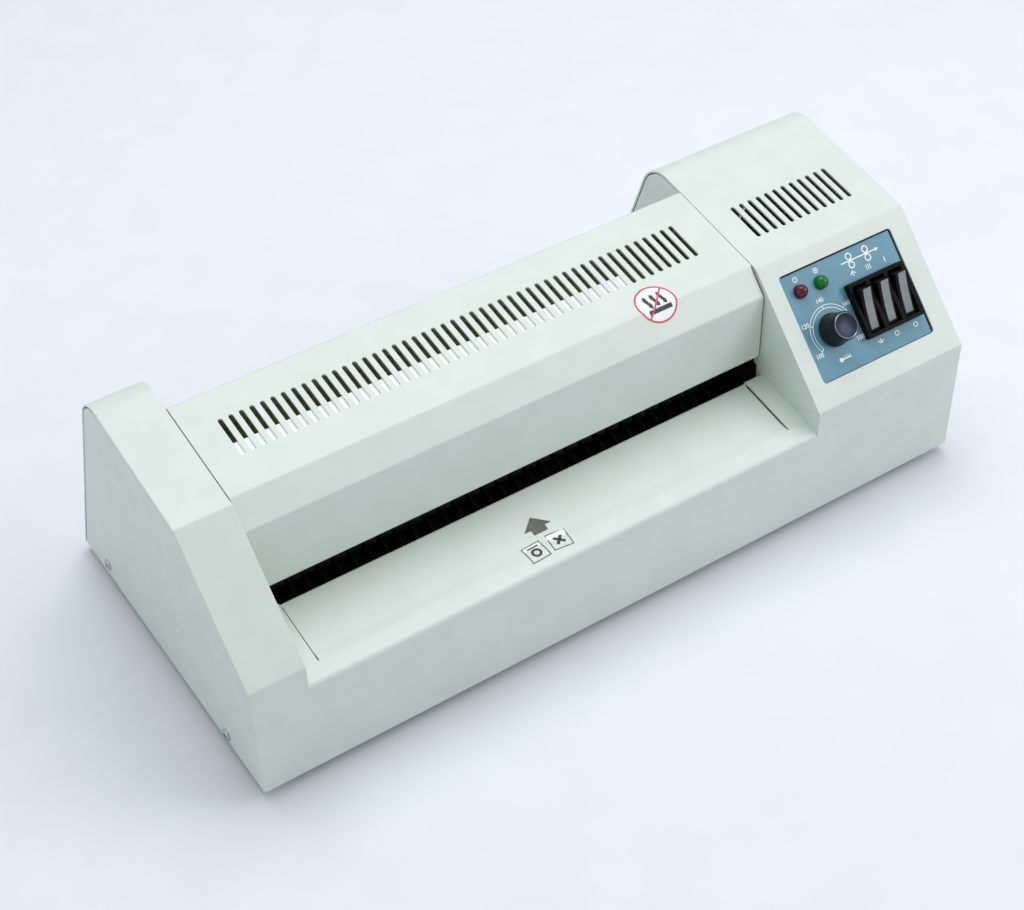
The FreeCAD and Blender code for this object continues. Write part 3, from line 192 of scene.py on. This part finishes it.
def turned_face(name, centre, axis):
    """Faced-off aluminium disc: concentric tool marks round its own middle."""
    material, tree, place = begin(name)
    turn = axis.to_track_quat("Z", "Y").to_matrix().transposed().to_euler()
    moved = add(tree, "ShaderNodeVectorMath", {0: place, 1: tuple(centre)}, operation="SUBTRACT")
    flat = add(tree, "ShaderNodeMapping", {"Vector": moved.outputs[0], "Rotation": tuple(turn)})
    rings = add(tree, "ShaderNodeTexWave", {
        "Vector": flat.outputs[0], "Scale": math.tau * per_mm(RING_PITCH) / WAVE_RATE,
        "Distortion": 0.4, "Detail": 1.0}, wave_type="RINGS", rings_direction="Z")
    colour = add(tree, "ShaderNodeMix", {0: rings.outputs[1], 6: tone("#2E3340"), 7: tone("#3B4150")},
                 data_type="RGBA")
    relief = add(tree, "ShaderNodeBump", {"Height": rings.outputs[1], "Distance": 0.02 * MM})
    close(tree, add(tree, "ShaderNodeBsdfPrincipled", {
        "Base Color": colour.outputs[2], "Metallic": 1.0, "Roughness": 0.36, "Normal": relief.outputs[0]}))
    return material


# ---- making pieces ---------------------------------------------------------------------------
WELD = 0.002 * MM       # corners closer than this are one
CREASE = 40             # degrees between two faces from which their edge is a real one


def merged(node):
    """The CAD node's shape as a bmesh with shared corners and no needless edges."""
    bm = bmesh.new()
    bm.from_mesh(frame["nodes"][node].data)
    bmesh.ops.remove_doubles(bm, verts=bm.verts, dist=WELD)
    bmesh.ops.dissolve_limit(bm, angle_limit=math.radians(0.5), verts=bm.verts, edges=bm.edges)
    return bm


def piece(name, bm, body, materials, replaces=(), smooth=35):
    """Turns a bmesh into a finished object that rides on a body."""
    mesh = bpy.data.meshes.new(name)
    bm.normal_update()
    bm.to_mesh(mesh)
    bm.free()
    mesh.shade_smooth()
    mesh.set_sharp_from_angle(angle=math.radians(smooth))
    made = bpy.data.objects.new(name, mesh)
    bpy.context.scene.collection.objects.link(made)
    for material in materials:
        mesh.materials.append(material)
    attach(made, body)
    if replaces:
        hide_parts(*replaces)
    return made


def soften(made, width, segments=2, weights=False):
    """Rounds the edges by width millimetres and keeps the flats flat."""
    bevel = made.modifiers.new("rounded_edges", "BEVEL")
    bevel.width = width * MM
    bevel.segments = segments
    bevel.limit_method = "WEIGHT" if weights else "ANGLE"
    bevel.angle_limit = math.radians(CREASE)
    bevel.use_clamp_overlap = True
    bevel.miter_outer = "MITER_ARC"
    even = made.modifiers.new("even_normals", "WEIGHTED_NORMAL")
    even.keep_sharp = True
    even.weight = 80
    return made


BODY_OF = {n: b for b, members in frame["record"]["behaviour"]["bodies"].items() for n in members}
SLOT_OF = {row["node"]: row["material_slot"] for row in frame["record"]["subparts"]}
FINISH_OF = {
    "casing_paint": PAINT, "liner_paint": ENAMEL, "zinc_steel": ZINC, "ground_steel": GROUND,
    "silicone": SILICONE, "black_plastic": BLACK, "black_knob": KNOB_BLACK, "grey_rocker": GREY,
    "natural_nylon": NYLON, "bronze": BRONZE, "aluminium": ALUMINIUM, "turned_aluminium": ALUMINIUM,
    "phenolic": PAPER_PHENOLIC, "circuit_board": BOARD, "fascia": FASCIA, "red_lens": RED_LENS,
    "green_lens": GREEN_LENS, "foot_rubber": RUBBER,
}
for node, obj in frame["nodes"].items():
    obj.data.materials.clear()
    obj.data.materials.append(FINISH_OF[SLOT_OF[node]])


def refine(node, width, segments=2, smooth=35, seamless=None, material=None):
    """Stands a softened copy in for a CAD node. seamless picks edges that stay sharp, where sheets butt."""
    bm = merged(node)
    layer = bm.edges.layers.float.new("bevel_weight_edge")
    for edge in bm.edges:
        faces = edge.link_faces
        crisp = len(faces) == 2 and faces[0].normal.angle(faces[1].normal, 0) > math.radians(CREASE)
        if crisp and not (seamless and seamless(edge)):
            edge[layer] = 1.0
    worn = material or FINISH_OF[SLOT_OF[node]]
    made = piece(node + "_finished", bm, BODY_OF[node], [worn], [node], smooth)
    return soften(made, width, segments, weights=True)


# The front panel butts against the folded strips just under their front fold, and the side plates butt
# against the strips' ends. These joints are filled before painting and don't show.
FRONT_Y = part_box("front_panel")[0].y
JOINT_X, JOINT_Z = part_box("front_panel")[1].x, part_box("front_panel")[1].z
NEAR = 0.1 * MM


def on_joint(edge):
    front = all(abs(v.co.z - JOINT_Z) < NEAR and v.co.y < FRONT_Y + 2 * MM for v in edge.verts)
    return front or all(abs(abs(v.co.x) - JOINT_X) < NEAR for v in edge.verts)


# Each node with the width in millimetres of its rounded edges.
PAINTED = {"front_panel": 0.35, "rear_panel": 0.35, "left_end_cover": 0.4, "left_side_plate": 0.45,
           "left_inner_wall": 0.3, "control_housing": 0.4, "right_side_plate": 0.45, "right_inner_wall": 0.3,
           "centre_cover": 0.35, "feed_tray": 0.3, "exit_ramp": 0.3}
for node, width in PAINTED.items():
    refine(node, width, seamless=on_joint)

OTHERS = {"cover_liner": 0.2, "base_pan": 0.3, "cord_gland": 0.3, "fuse_holder": 0.5, "pan_head_screws": 0.15,
          "left_frame_plate": 0.25, "right_frame_plate": 0.25, "tie_rods": 0.4, "lower_bushes": 0.2,
          "bearing_blocks": 0.3, "motor_bracket": 0.3, "motor": 0.6, "motor_shaft": 0.4,
          "upper_heater_plate": 0.3, "lower_heater_plate": 0.3, "heater_brackets": 0.3,
          "thermal_cutouts": 0.3, "control_board": 0.15, "board_parts": 0.5, "standoffs": 0.3,
          "potentiometer": 0.3, "switch_bodies": 0.2, "feet": 0.6}
for node, width in OTHERS.items():
    refine(node, width)
refine("heat_shield", 0.2, material=OLIVE)
refine("entry_guide_lower", 0.3, material=GUIDE_BLACK)
refine("entry_guide_upper", 0.6, material=GUIDE_BLACK)
for pair in ("front", "rear"):
    for level in ("lower", "upper"):
        refine(f"{pair}_{level}_shaft", 0.4)
        refine(f"{pair}_{level}_sleeve", 0.8, segments=3)
        refine(f"{pair}_{level}_gear", 0.1)
refine("drive_gear", 0.1)

# the pressure springs, wound as one wire each between a bearing block and the top of its slot
WIRE_R, COIL_R, COILS, TURN_STEPS = 0.7 * MM, 3.6 * MM, 6, 28
spring_low, spring_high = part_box("pressure_springs")
reach = COIL_R + WIRE_R
rise = (spring_high.z - spring_low.z - 2 * WIRE_R) / (COILS * TURN_STEPS)
springs = bmesh.new()
for x in (spring_low.x + reach, spring_high.x - reach):
    for y in (spring_low.y + reach, spring_high.y - reach):
        start = Vector((x + COIL_R, y, spring_low.z + WIRE_R))
        upright = Matrix.Translation(start) @ Matrix.Rotation(math.pi / 2, 4, "X")
        wire = bmesh.ops.create_circle(springs, cap_ends=True, segments=10, radius=WIRE_R, matrix=upright)
        face = wire["verts"][0].link_faces[0]
        bmesh.ops.spin(springs, geom=[face] + list(face.edges) + list(face.verts),
                       cent=(x, y, start.z), axis=(0, 0, 1), dvec=(0, 0, rise),
                       angle=2 * math.pi * COILS, steps=COILS * TURN_STEPS)
bmesh.ops.recalc_face_normals(springs, faces=springs.faces)
piece("wound_pressure_springs", springs, "casing", [GROUND], ["pressure_springs"], 60)

# ---- the sloping panel -------------------------------------------------------------------------
PANEL_RISE, PANEL_RUN = 67.0, 67.5
PANEL_ANGLE = math.atan2(PANEL_RISE, PANEL_RUN)
FASCIA_T = 2 * MM
LAP = 5.0           # the fascia reaches this far behind the sheet round its window
fascia_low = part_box("control_fascia")[0]
PANEL = (Matrix.Translation((fascia_low.x, fascia_low.y + FASCIA_T * math.sin(PANEL_ANGLE), fascia_low.z))
         @ Matrix.Rotation(PANEL_ANGLE, 4, "X"))
OUT = (PANEL.to_3x3() @ Vector((0, 0, 1))).normalized()


def on_panel(u, v, w=0.0):
    """A matrix at u across and v up from the window's lower left corner, w above the fascia's face, in mm."""
    return PANEL @ Matrix.Translation(((u + LAP) * MM, (v + LAP) * MM, FASCIA_T + w * MM))


def spun(outline, steps=48):
    """A solid of revolution about Z through (radius, height) points in millimetres, closed at the axis."""
    bm = bmesh.new()
    points = [bm.verts.new((r * MM, 0, h * MM)) for r, h in outline]
    edges = [bm.edges.new(pair) for pair in zip(points, points[1:])]
    bmesh.ops.spin(bm, geom=points + edges, cent=(0, 0, 0), axis=(0, 0, 1), angle=2 * math.pi, steps=steps,
                   use_merge=True)
    bmesh.ops.remove_doubles(bm, verts=bm.verts, dist=0.001 * MM)
    bmesh.ops.recalc_face_normals(bm, faces=bm.faces)
    return bm


# fascia: printed film on a dark core
bm = merged("control_fascia")
for face in bm.faces:
    face.material_index = 0 if face.normal.dot(OUT) > 0.9 else 1
fascia = piece("fascia_plate", bm, "casing", [FASCIA, FASCIA_EDGE], ["control_fascia"])
soften(fascia, 0.25)

# painted shadow round the window: thin dark bands in place of the shade in the gap round the recessed fascia,
# widest along its top and its right side, where that shade shows most
window = bmesh.new()
WINDOW = (87.8, 70.0)       # its width and height, up the slope
WIDE_TOP, WIDE_SIDE, NARROW = 1.1, 1.3, 0.35
for low, high, width in (((0, WINDOW[1]), WINDOW, WIDE_TOP), ((WINDOW[0], 0), WINDOW, WIDE_SIDE),
                         ((0, 0), (WINDOW[0], 0), NARROW), ((0, 0), (0, WINDOW[1]), NARROW)):
    across = Vector((high[0] - low[0], high[1] - low[1]))
    inward = Vector((1 if low[0] == 0 else -1, 1 if low[1] == 0 else -1)) * width / 2
    middle = (Vector(low) + Vector(high)) / 2
    middle += Vector((0, inward.y)) if across.x else Vector((inward.x, 0))
    half = Vector((across.x, width)) / 2 if across.x else Vector((width, across.y)) / 2
    size = Matrix.Diagonal((half.x * MM, half.y * MM, 1, 1))
    bmesh.ops.create_grid(window, x_segments=1, y_segments=1, size=1.0,
                          matrix=Matrix.Translation((middle.x * MM, middle.y * MM, 0)) @ size)
window.transform(on_panel(0, 0, 0.03))
# Painted shadow: blue-black and so dull that it reads as a gap, standing in for the shade round the window.
PAINTED_WINDOW_SHADOW = finish("painted_window_shadow", "#0C1418", "#10191E", 0.8, 0.5, 0.006)
piece("painted_window_shadow_bands", window, "casing", [PAINTED_WINDOW_SHADOW], smooth=20)

# lamps: clear domes on plain stems
LAMP_R, LAMP_RISE, LAMP_STEM = 4.2, 1.6, 8
RED_U, GREEN_U, LAMP_V = 11.0, 26.8, 56.9
for node, u, material, slot in (("red_lamp", RED_U, RED_LENS, "red_lens"),
                                ("green_lamp", GREEN_U, GREEN_LENS, "green_lens")):
    dome = []
    for a in range(0, 90, 6):
        dome.append((LAMP_R * math.cos(math.radians(a)), LAMP_RISE + LAMP_R * math.sin(math.radians(a))))
    bm = spun([(0, -LAMP_STEM), (LAMP_R, -LAMP_STEM)] + dome + [(0, LAMP_RISE + LAMP_R)], 40)
    bm.transform(on_panel(u, LAMP_V))
    piece(node + "_lens", bm, "casing", [material], [node], 60)

# knob: fluted grip over a flared skirt, with a turned cap
KNOB_AT = (21.7, 27.6)      # where the CAD spindle stands
STEM_R, STEM_LENGTH, STEM_MIDDLE = 2.95, 9.6, -4.0
FLUTES = 36
FLUTED = (4.0, 14.6)        # heights that the flutes run between
FLUTE_DEPTH = 0.022         # as a share of the radius
grip = [(0, 0.8), (10.3, 0.8), (10.6, 1.1), (10.4, 2.2), (9.85, 3.4), (9.5, 4.5), (9.35, 8.5), (9.15, 12.0),
        (9.0, 14.0), (8.85, 14.8), (8.6, 15.2), (8.32, 15.3), (8.27, 14.5), (0, 14.5)]
bm = spun(grip, FLUTES * 4)
for vert in bm.verts:
    r = math.hypot(vert.co.x, vert.co.y)
    h = vert.co.z / MM
    if FLUTED[0] < h < FLUTED[1] and r > 8.7 * MM:
        flute = 0.5 + 0.5 * math.cos(FLUTES * math.atan2(vert.co.y, vert.co.x))
        vert.co.x *= 1 - FLUTE_DEPTH * flute
        vert.co.y *= 1 - FLUTE_DEPTH * flute
bmesh.ops.create_cone(bm, cap_ends=True, segments=24, radius1=STEM_R * MM, radius2=STEM_R * MM,
                      depth=STEM_LENGTH * MM, matrix=Matrix.Translation((0, 0, STEM_MIDDLE * MM)))
bm.transform(on_panel(*KNOB_AT))
piece("knob_grip", bm, "knob", [KNOB_BLACK], ["knob"], 50)
# Faced and then tinted dark, with the tool's rings left in it.
TURNED = turned_face("faced_aluminium", on_panel(*KNOB_AT).translation, OUT)
# The cap's turned lip, brighter than its face.
RIM = finish("polished_aluminium_rim", "#A4ABB4", "#969DA7", 0.2, 0.8, 0.002, metallic=1.0)
FACE_R = 7.5
cap = [(0, 14.52), (8.1, 14.52), (8.2, 15.0), (8.15, 15.45), (7.95, 15.6), (7.7, 15.5), (FACE_R, 15.35),
       (0, 15.35)]
bm = spun(cap, 72)
for face in bm.faces:
    centre = face.calc_center_median()
    face.material_index = 0 if math.hypot(centre.x, centre.y) < FACE_R * MM else 1
bm.transform(on_panel(*KNOB_AT))
piece("knob_disc", bm, "knob", [TURNED, RIM], ["knob_cap"], 50)

# switches: black frame, and rockers with grey faces set in black shells; the black strip left of each grey face
# is partly painted shade
# The grey faces are narrow and sit to the right, so the black of each shell on their left paints in the shade
# of the rocker's left side.
INLAY_HALF = 2.9            # half the width of a grey face
INLAY_SHIFT = 0.4           # a grey face sits this far to the right in its shell
ROCKER_V = 30.9             # the rockers' middle
INLAY_V = (ROCKER_V - 13.2, ROCKER_V + 11.6)
up_slope = (PANEL.to_3x3() @ Vector((0, 1, 0))).normalized()
ends = [on_panel(0, v).translation for v in INLAY_V]
refine("switch_frame", 0.5, 3, material=SWITCH_BLACK)
for node in ("left_rocker", "middle_rocker", "right_rocker"):
    low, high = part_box(node)
    middle = (low.x + high.x) / 2 + INLAY_SHIFT * MM
    bm = merged(node)
    cuts = [((middle + side * INLAY_HALF * MM, 0, 0), (1, 0, 0)) for side in (-1, 1)]
    for place, way in cuts + [(end, up_slope) for end in ends]:
        bmesh.ops.bisect_plane(bm, geom=bm.verts[:] + bm.edges[:] + bm.faces[:], dist=0.001 * MM,
                               plane_co=place, plane_no=way)
    for face in bm.faces:
        centre = face.calc_center_median()
        inside = abs(centre.x - middle) < INLAY_HALF * MM
        inside = inside and (centre - ends[0]).dot(up_slope) > 0 > (centre - ends[1]).dot(up_slope)
        face.material_index = 1 if inside and face.normal.dot(OUT) > 0.8 else 0
    rocker = piece(node + "_shell", bm, node, [SWITCH_BLACK, GREY], [node], 30)
    soften(rocker, 0.3)

# ---- prints ------------------------------------------------------------------------------------
def bar(bm, x0, y0, x1, y1, width, parts=1):
    """A straight flat bar between two points, in millimetres, cut into parts along its length."""
    run = Vector((x1 - x0, y1 - y0))
    place = Matrix.Translation(((x0 + x1) / 2 * MM, (y0 + y1) / 2 * MM, 0))
    turn = Matrix.Rotation(math.atan2(run.y, run.x), 4, "Z")
    size = Matrix.Diagonal((run.length / 2 * MM, width / 2 * MM, 1, 1))
    bmesh.ops.create_grid(bm, x_segments=parts, y_segments=1, size=1.0, matrix=place @ turn @ size)


def arc(bm, x, y, r, start, end, width, steps=24):
    """A flat band of the given width along an arc, angles in degrees."""
    way = Vector((math.cos(math.radians(start)), math.sin(math.radians(start)), 0))
    centre = Vector((x, y, 0)) * MM
    ends = [bm.verts.new(centre + way * (r + side * width / 2) * MM) for side in (-1, 1)]
    edge = bm.edges.new(ends)
    bmesh.ops.spin(bm, geom=ends + [edge], cent=centre, axis=(0, 0, 1), angle=math.radians(end - start),
                   steps=steps, use_merge=end - start >= 360)


def disc(bm, x, y, r, segments=32, squash=1.0, turn=0.0):
    """A filled circle, or a triangle when it has three segments."""
    place = Matrix.Translation((x * MM, y * MM, 0)) @ Matrix.Diagonal((1, squash, 1, 1))
    bmesh.ops.create_circle(bm, cap_ends=True, segments=segments, radius=r * MM,
                            matrix=place @ Matrix.Rotation(math.radians(turn), 4, "Z"))


def square_frame(bm, x, y, half, width, turn):
    """The outline of a square."""
    place = Matrix.Translation((x * MM, y * MM, 0)) @ Matrix.Rotation(math.radians(turn), 4, "Z")
    for k in range(4):
        side = place @ Matrix.Rotation(math.radians(90 * k), 4, "Z")
        ends = [side @ Vector((s * half * MM, (half - width / 2) * MM, 0)) / MM for s in (-1, 1)]
        bar(bm, ends[0].x, ends[0].y, ends[1].x, ends[1].y, width, 6)


def wave(bm, x, y, height, width):
    """A rising wisp of warm air, as two arcs that turn opposite ways."""
    r = height / 2.6
    for side, middle in ((1, y - height / 4), (-1, y + height / 4)):
        start = -40 if side > 0 else 140
        arc(bm, x - side * r * 0.85, middle, r, start, start + 80, width, 8)


def thicken(bm, height=0.06):
    """Gives flat print a little body, with its face up."""
    bmesh.ops.recalc_face_normals(bm, faces=bm.faces)
    for face in bm.faces:
        if face.normal.z < 0:
            face.normal_flip()
    out = bmesh.ops.extrude_face_region(bm, geom=bm.faces[:])
    raised = [g for g in out["geom"] if isinstance(g, bmesh.types.BMVert)]
    bmesh.ops.translate(bm, verts=raised, vec=(0, 0, height * MM))
    bmesh.ops.recalc_face_normals(bm, faces=bm.faces)


FONT_SHARE = 1.38       # a font's size over the height of its digits
BOLDER = 0.03           # millimetres added all round a digit


def numeral(text, size, u, v):
    """A number as a flat mesh, size millimetres tall, centred at u, v."""
    curve = bpy.data.curves.new("numeral", "FONT")
    curve.body = text
    curve.size = size * MM * FONT_SHARE
    curve.align_x = "CENTER"
    curve.align_y = "CENTER"
    curve.offset = BOLDER * MM
    holder = bpy.data.objects.new("numeral", curve)
    bpy.context.scene.collection.objects.link(holder)
    bpy.context.view_layer.update()
    mesh = bpy.data.meshes.new_from_object(holder)
    bpy.data.objects.remove(holder)
    mesh.transform(Matrix.Translation((u * MM, v * MM, 0)))
    return mesh


bm = bmesh.new()
ku, kv = KNOB_AT
DIAL_IN, DIAL_OUT, NUMBER_R, NUMBER_HEIGHT = 14.0, 16.0, 19.4, 2.9
for r in (DIAL_IN, DIAL_OUT):
    arc(bm, ku, kv, r, -31, 215, 0.4, 72)
# each number, the angle of its tick, and the angle that it stands at
DIAL = ((100, 215, 215), (120, 152, 153), (140, 92, 92), (160, 27, 35.3), (180, 329, 324.7))
for number, tick, angle in DIAL:
    t, a = math.radians(tick), math.radians(angle)
    bar(bm, ku + DIAL_IN * math.cos(t), kv + DIAL_IN * math.sin(t),
        ku + (DIAL_OUT + 0.2) * math.cos(t), kv + (DIAL_OUT + 0.2) * math.sin(t), 0.6)
    mesh = numeral(str(number), NUMBER_HEIGHT, ku + NUMBER_R * math.cos(a), kv + NUMBER_R * math.sin(a))
    bm.from_mesh(mesh)
    bpy.data.meshes.remove(mesh)
# a thermometer under the dial
BULB_V = 8.9
disc(bm, ku - 3.0, BULB_V, 1.5, 20)
bar(bm, ku - 1.8, BULB_V, ku + 4.6, BULB_V, 1.0)
for i in range(4):
    bar(bm, ku - 0.4 + 1.4 * i, 9.8, ku - 0.4 + 1.4 * i, 10.9, 0.4)
# an on mark and a ready ring over the lamps
RING_V = 64.8
arc(bm, RED_U, RING_V, 1.5, 125, 415, 0.5)
bar(bm, RED_U, 65.1, RED_U, 66.9, 0.5)
arc(bm, GREEN_U, RING_V, 1.5, 0, 360, 0.5)
disc(bm, GREEN_U, RING_V, 0.6, 16)
# rollers with a sheet between them, as the heading
for u in (52.5, 65.5):
    for v in (58.9, 64.3):
        arc(bm, u, v, 2.0, 0, 360, 0.75, 32)
SHEET_V = 61.6
bar(bm, 45.5, SHEET_V, 72.5, SHEET_V, 0.7)
disc(bm, 73.2, SHEET_V, 1.7, 3, 0.8, -90)
# marks over the rockers: an arrow, warm air, a bar; and under them: an arrow, and two rings
bar(bm, 49.0, 53.2, 51.0, 55.2, 0.6)
bar(bm, 53.0, 53.2, 51.0, 55.2, 0.6)
bar(bm, 51.0, 51.9, 51.0, 55.2, 0.6)
for u in (61.5, 63.0, 64.5):
    wave(bm, u, 53.6, 3.2, 0.5)
bar(bm, 76.0, 52.0, 76.0, 55.2, 0.7)
bar(bm, 48.0, 9.6, 50.0, 7.6, 0.6)
bar(bm, 52.0, 9.6, 50.0, 7.6, 0.6)
bar(bm, 50.0, 10.9, 50.0, 7.6, 0.6)
for u in (63.0, 78.0):
    arc(bm, u, 9.2, 1.4, 0, 360, 0.55)
thicken(bm)
bm.transform(on_panel(0, 0, 0.01))
piece("panel_print", bm, "casing", [WHITE_INK], smooth=20)


# prints that lie on the sheet metal are laid flat over it and dropped on
def drop_on(bm, node, lift=0.03):
    """Moves each vertex straight down on to a CAD node, keeping its own height above it."""
    base = merged(node)
    tree = BVHTree.FromBMesh(base)
    for vert in bm.verts:
        height = vert.co.z
        hit, normal, _, _ = tree.ray_cast(Vector((vert.co.x, vert.co.y, 1.0)), Vector((0, 0, -1)))
        vert.co = hit + normal * (height + lift * MM)
    base.free()


ROUNDEL_X = 67.5 * MM
HOOD_FOLD_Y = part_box("centre_cover")[0].y + 14 * MM
# how far back a millimetre of print reaches on the hood's slope and on its top
SLOPE_RUN, TOP_RUN = math.cos(math.radians(46)), math.cos(math.radians(9))


def roundel(material, name, draw, lift):
    """A print that lies across the fold of the hood; v = 0 is on the fold, and v runs to the rear."""
    bm = bmesh.new()
    draw(bm)
    for v in (-0.8, 0.0, 0.8):
        bmesh.ops.bisect_plane(bm, geom=bm.verts[:] + bm.edges[:] + bm.faces[:], dist=0.0001 * MM,
                               plane_co=(0, v * MM, 0), plane_no=(0, 1, 0))
    thicken(bm, 0.03)
    for vert in bm.verts:
        run = TOP_RUN if vert.co.y > 0 else SLOPE_RUN
        vert.co = Vector((ROUNDEL_X + vert.co.x, HOOD_FOLD_Y + vert.co.y * run, vert.co.z))
    drop_on(bm, "centre_cover", lift)
    return piece(name, bm, "casing", [material], smooth=60)


ROUNDEL_V = 3.5
GROUND_R, RING_R, RING_WIDTH = 12.4, 12.6, 1.1
SLASH = 8.6         # how far the slash reaches each way from the middle


def backing(bm):
    disc(bm, 0, ROUNDEL_V, GROUND_R, 64)


def ring_and_slash(bm):
    arc(bm, 0, ROUNDEL_V, RING_R, 0, 360, RING_WIDTH, 72)
    bar(bm, -SLASH, ROUNDEL_V - SLASH, SLASH, ROUNDEL_V + SLASH, RING_WIDTH, 12)


def heat_waves(bm):
    for u in (-4.8, 0.2, 5.2):
        wave(bm, u, ROUNDEL_V + 2.0, 9.0, 2.4)
    bar(bm, -7.8, ROUNDEL_V - 5.2, 8.2, ROUNDEL_V - 5.2, 2.8, 8)


roundel(PALE_INK, "heat_mark_ground", backing, 0.02)
roundel(DARK_INK, "heat_mark_waves", heat_waves, 0.06)
roundel(RED_INK, "heat_mark_ring", ring_and_slash, 0.10)

# tray marks: an arrow towards the rollers, and two framed squares
TRAY_PRINT_AT = (-49 * MM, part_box("feed_tray")[0].y + 31 * MM, 0)


def tray_print(name, material, draw, height=0.03):
    bm = bmesh.new()
    draw(bm)
    thicken(bm, height)
    bmesh.ops.translate(bm, verts=bm.verts, vec=TRAY_PRINT_AT)
    drop_on(bm, "feed_tray")
    return piece(name, bm, "casing", [material], smooth=60)


def arrow(bm):
    disc(bm, 0, -0.4, 10.8, 3, 0.52)
    bar(bm, 0, -7.0, 0, -3.1, 9.6, 4)


LEFT_SQUARE, RIGHT_SQUARE = (-10.8, -17.6), (5.6, -16.8)
SQUARE_HALF = 6.4


def square_grounds(bm):
    for x, y in (LEFT_SQUARE, RIGHT_SQUARE):
        bar(bm, x - SQUARE_HALF, y, x + SQUARE_HALF, y, 2 * SQUARE_HALF, 8)


def two_squares(bm):
    x, y = LEFT_SQUARE
    square_frame(bm, x, y, SQUARE_HALF, 0.6, 3)
    arc(bm, x, y - 0.6, 2.5, 0, 360, 1.6)
    bar(bm, x - 3.6, y + 3.9, x + 3.6, y + 4.1, 1.0, 4)
    x, y = RIGHT_SQUARE
    square_frame(bm, x, y, SQUARE_HALF, 0.6, -5)
    bar(bm, x - 2.6, y - 2.8, x + 2.6, y + 2.8, 1.9, 4)
    bar(bm, x - 2.6, y + 2.8, x + 2.6, y - 2.8, 1.9, 4)


tray_print("tray_arrow", ARROW_INK, arrow)
tray_print("tray_square_grounds", PALE_INK, square_grounds, 0.02)
tray_print("tray_squares", DARK_INK, two_squares, 0.06)

# ---- floor, light and camera ---------------------------------------------------------------------
bm = bmesh.new()
bmesh.ops.create_grid(bm, x_segments=2, y_segments=2, size=4.0)
floor_mesh = bpy.data.meshes.new("table_top")
bm.to_mesh(floor_mesh)
bm.free()
floor = bpy.data.objects.new("table_top", floor_mesh)
bpy.context.scene.collection.objects.link(floor)
# Matt white board, so that the shadows are soft and clear.
floor_mesh.materials.append(finish("matt_white_board", "#E2E6EB", "#E0E4E9", 0.85, 3.0, 0.01))


def lamp(name, place, aim, size, power, colour="#FFFFFF"):
    data = bpy.data.lights.new(name, "AREA")
    data.shape = "RECTANGLE"
    data.size, data.size_y = size
    data.energy = power
    data.color = tone(colour)[:3]
    made = bpy.data.objects.new(name, data)
    bpy.context.scene.collection.objects.link(made)
    made.location = place
    made.rotation_euler = (Vector(aim) - Vector(place)).to_track_quat("-Z", "Y").to_euler()


# A large softbox over the machine, a weaker one from the right front for the slopes, a faint one from the
# left, and a pale room.
lamp("overhead_softbox", (0.2, 0.45, 1.85), (0.0, 0.0, 0.0), (1.7, 1.3), 21, "#F8FAFF")
lamp("right_front_softbox", (1.35, -0.95, 1.15), (0.05, 0.0, 0.08), (1.1, 1.1), 12, "#F8FAFF")
lamp("left_fill", (-1.6, -0.1, 0.75), (-0.2, 0.0, 0.06), (1.0, 1.0), 3, "#E2F4FF")
world = bpy.data.worlds.new("soft_studio")
bpy.context.scene.world = world
world.use_nodes = True
world.node_tree.nodes["Background"].inputs[0].default_value = tone("#F6F8FA")
world.node_tree.nodes["Background"].inputs[1].default_value = 0.55

camera_data = bpy.data.cameras.new("camera")
camera_data.lens = 69.1
camera_data.sensor_width = 36
camera_data.clip_start = 0.01
camera = bpy.data.objects.new("camera", camera_data)
bpy.context.scene.collection.objects.link(camera)
camera.location = (-0.48455, -0.75984, 0.8782)
camera.rotation_euler = [math.radians(a) for a in (46.979, 1.337, -33.358)]
bpy.context.scene.camera = camera
bpy.context.scene.view_settings.view_transform = "Standard"
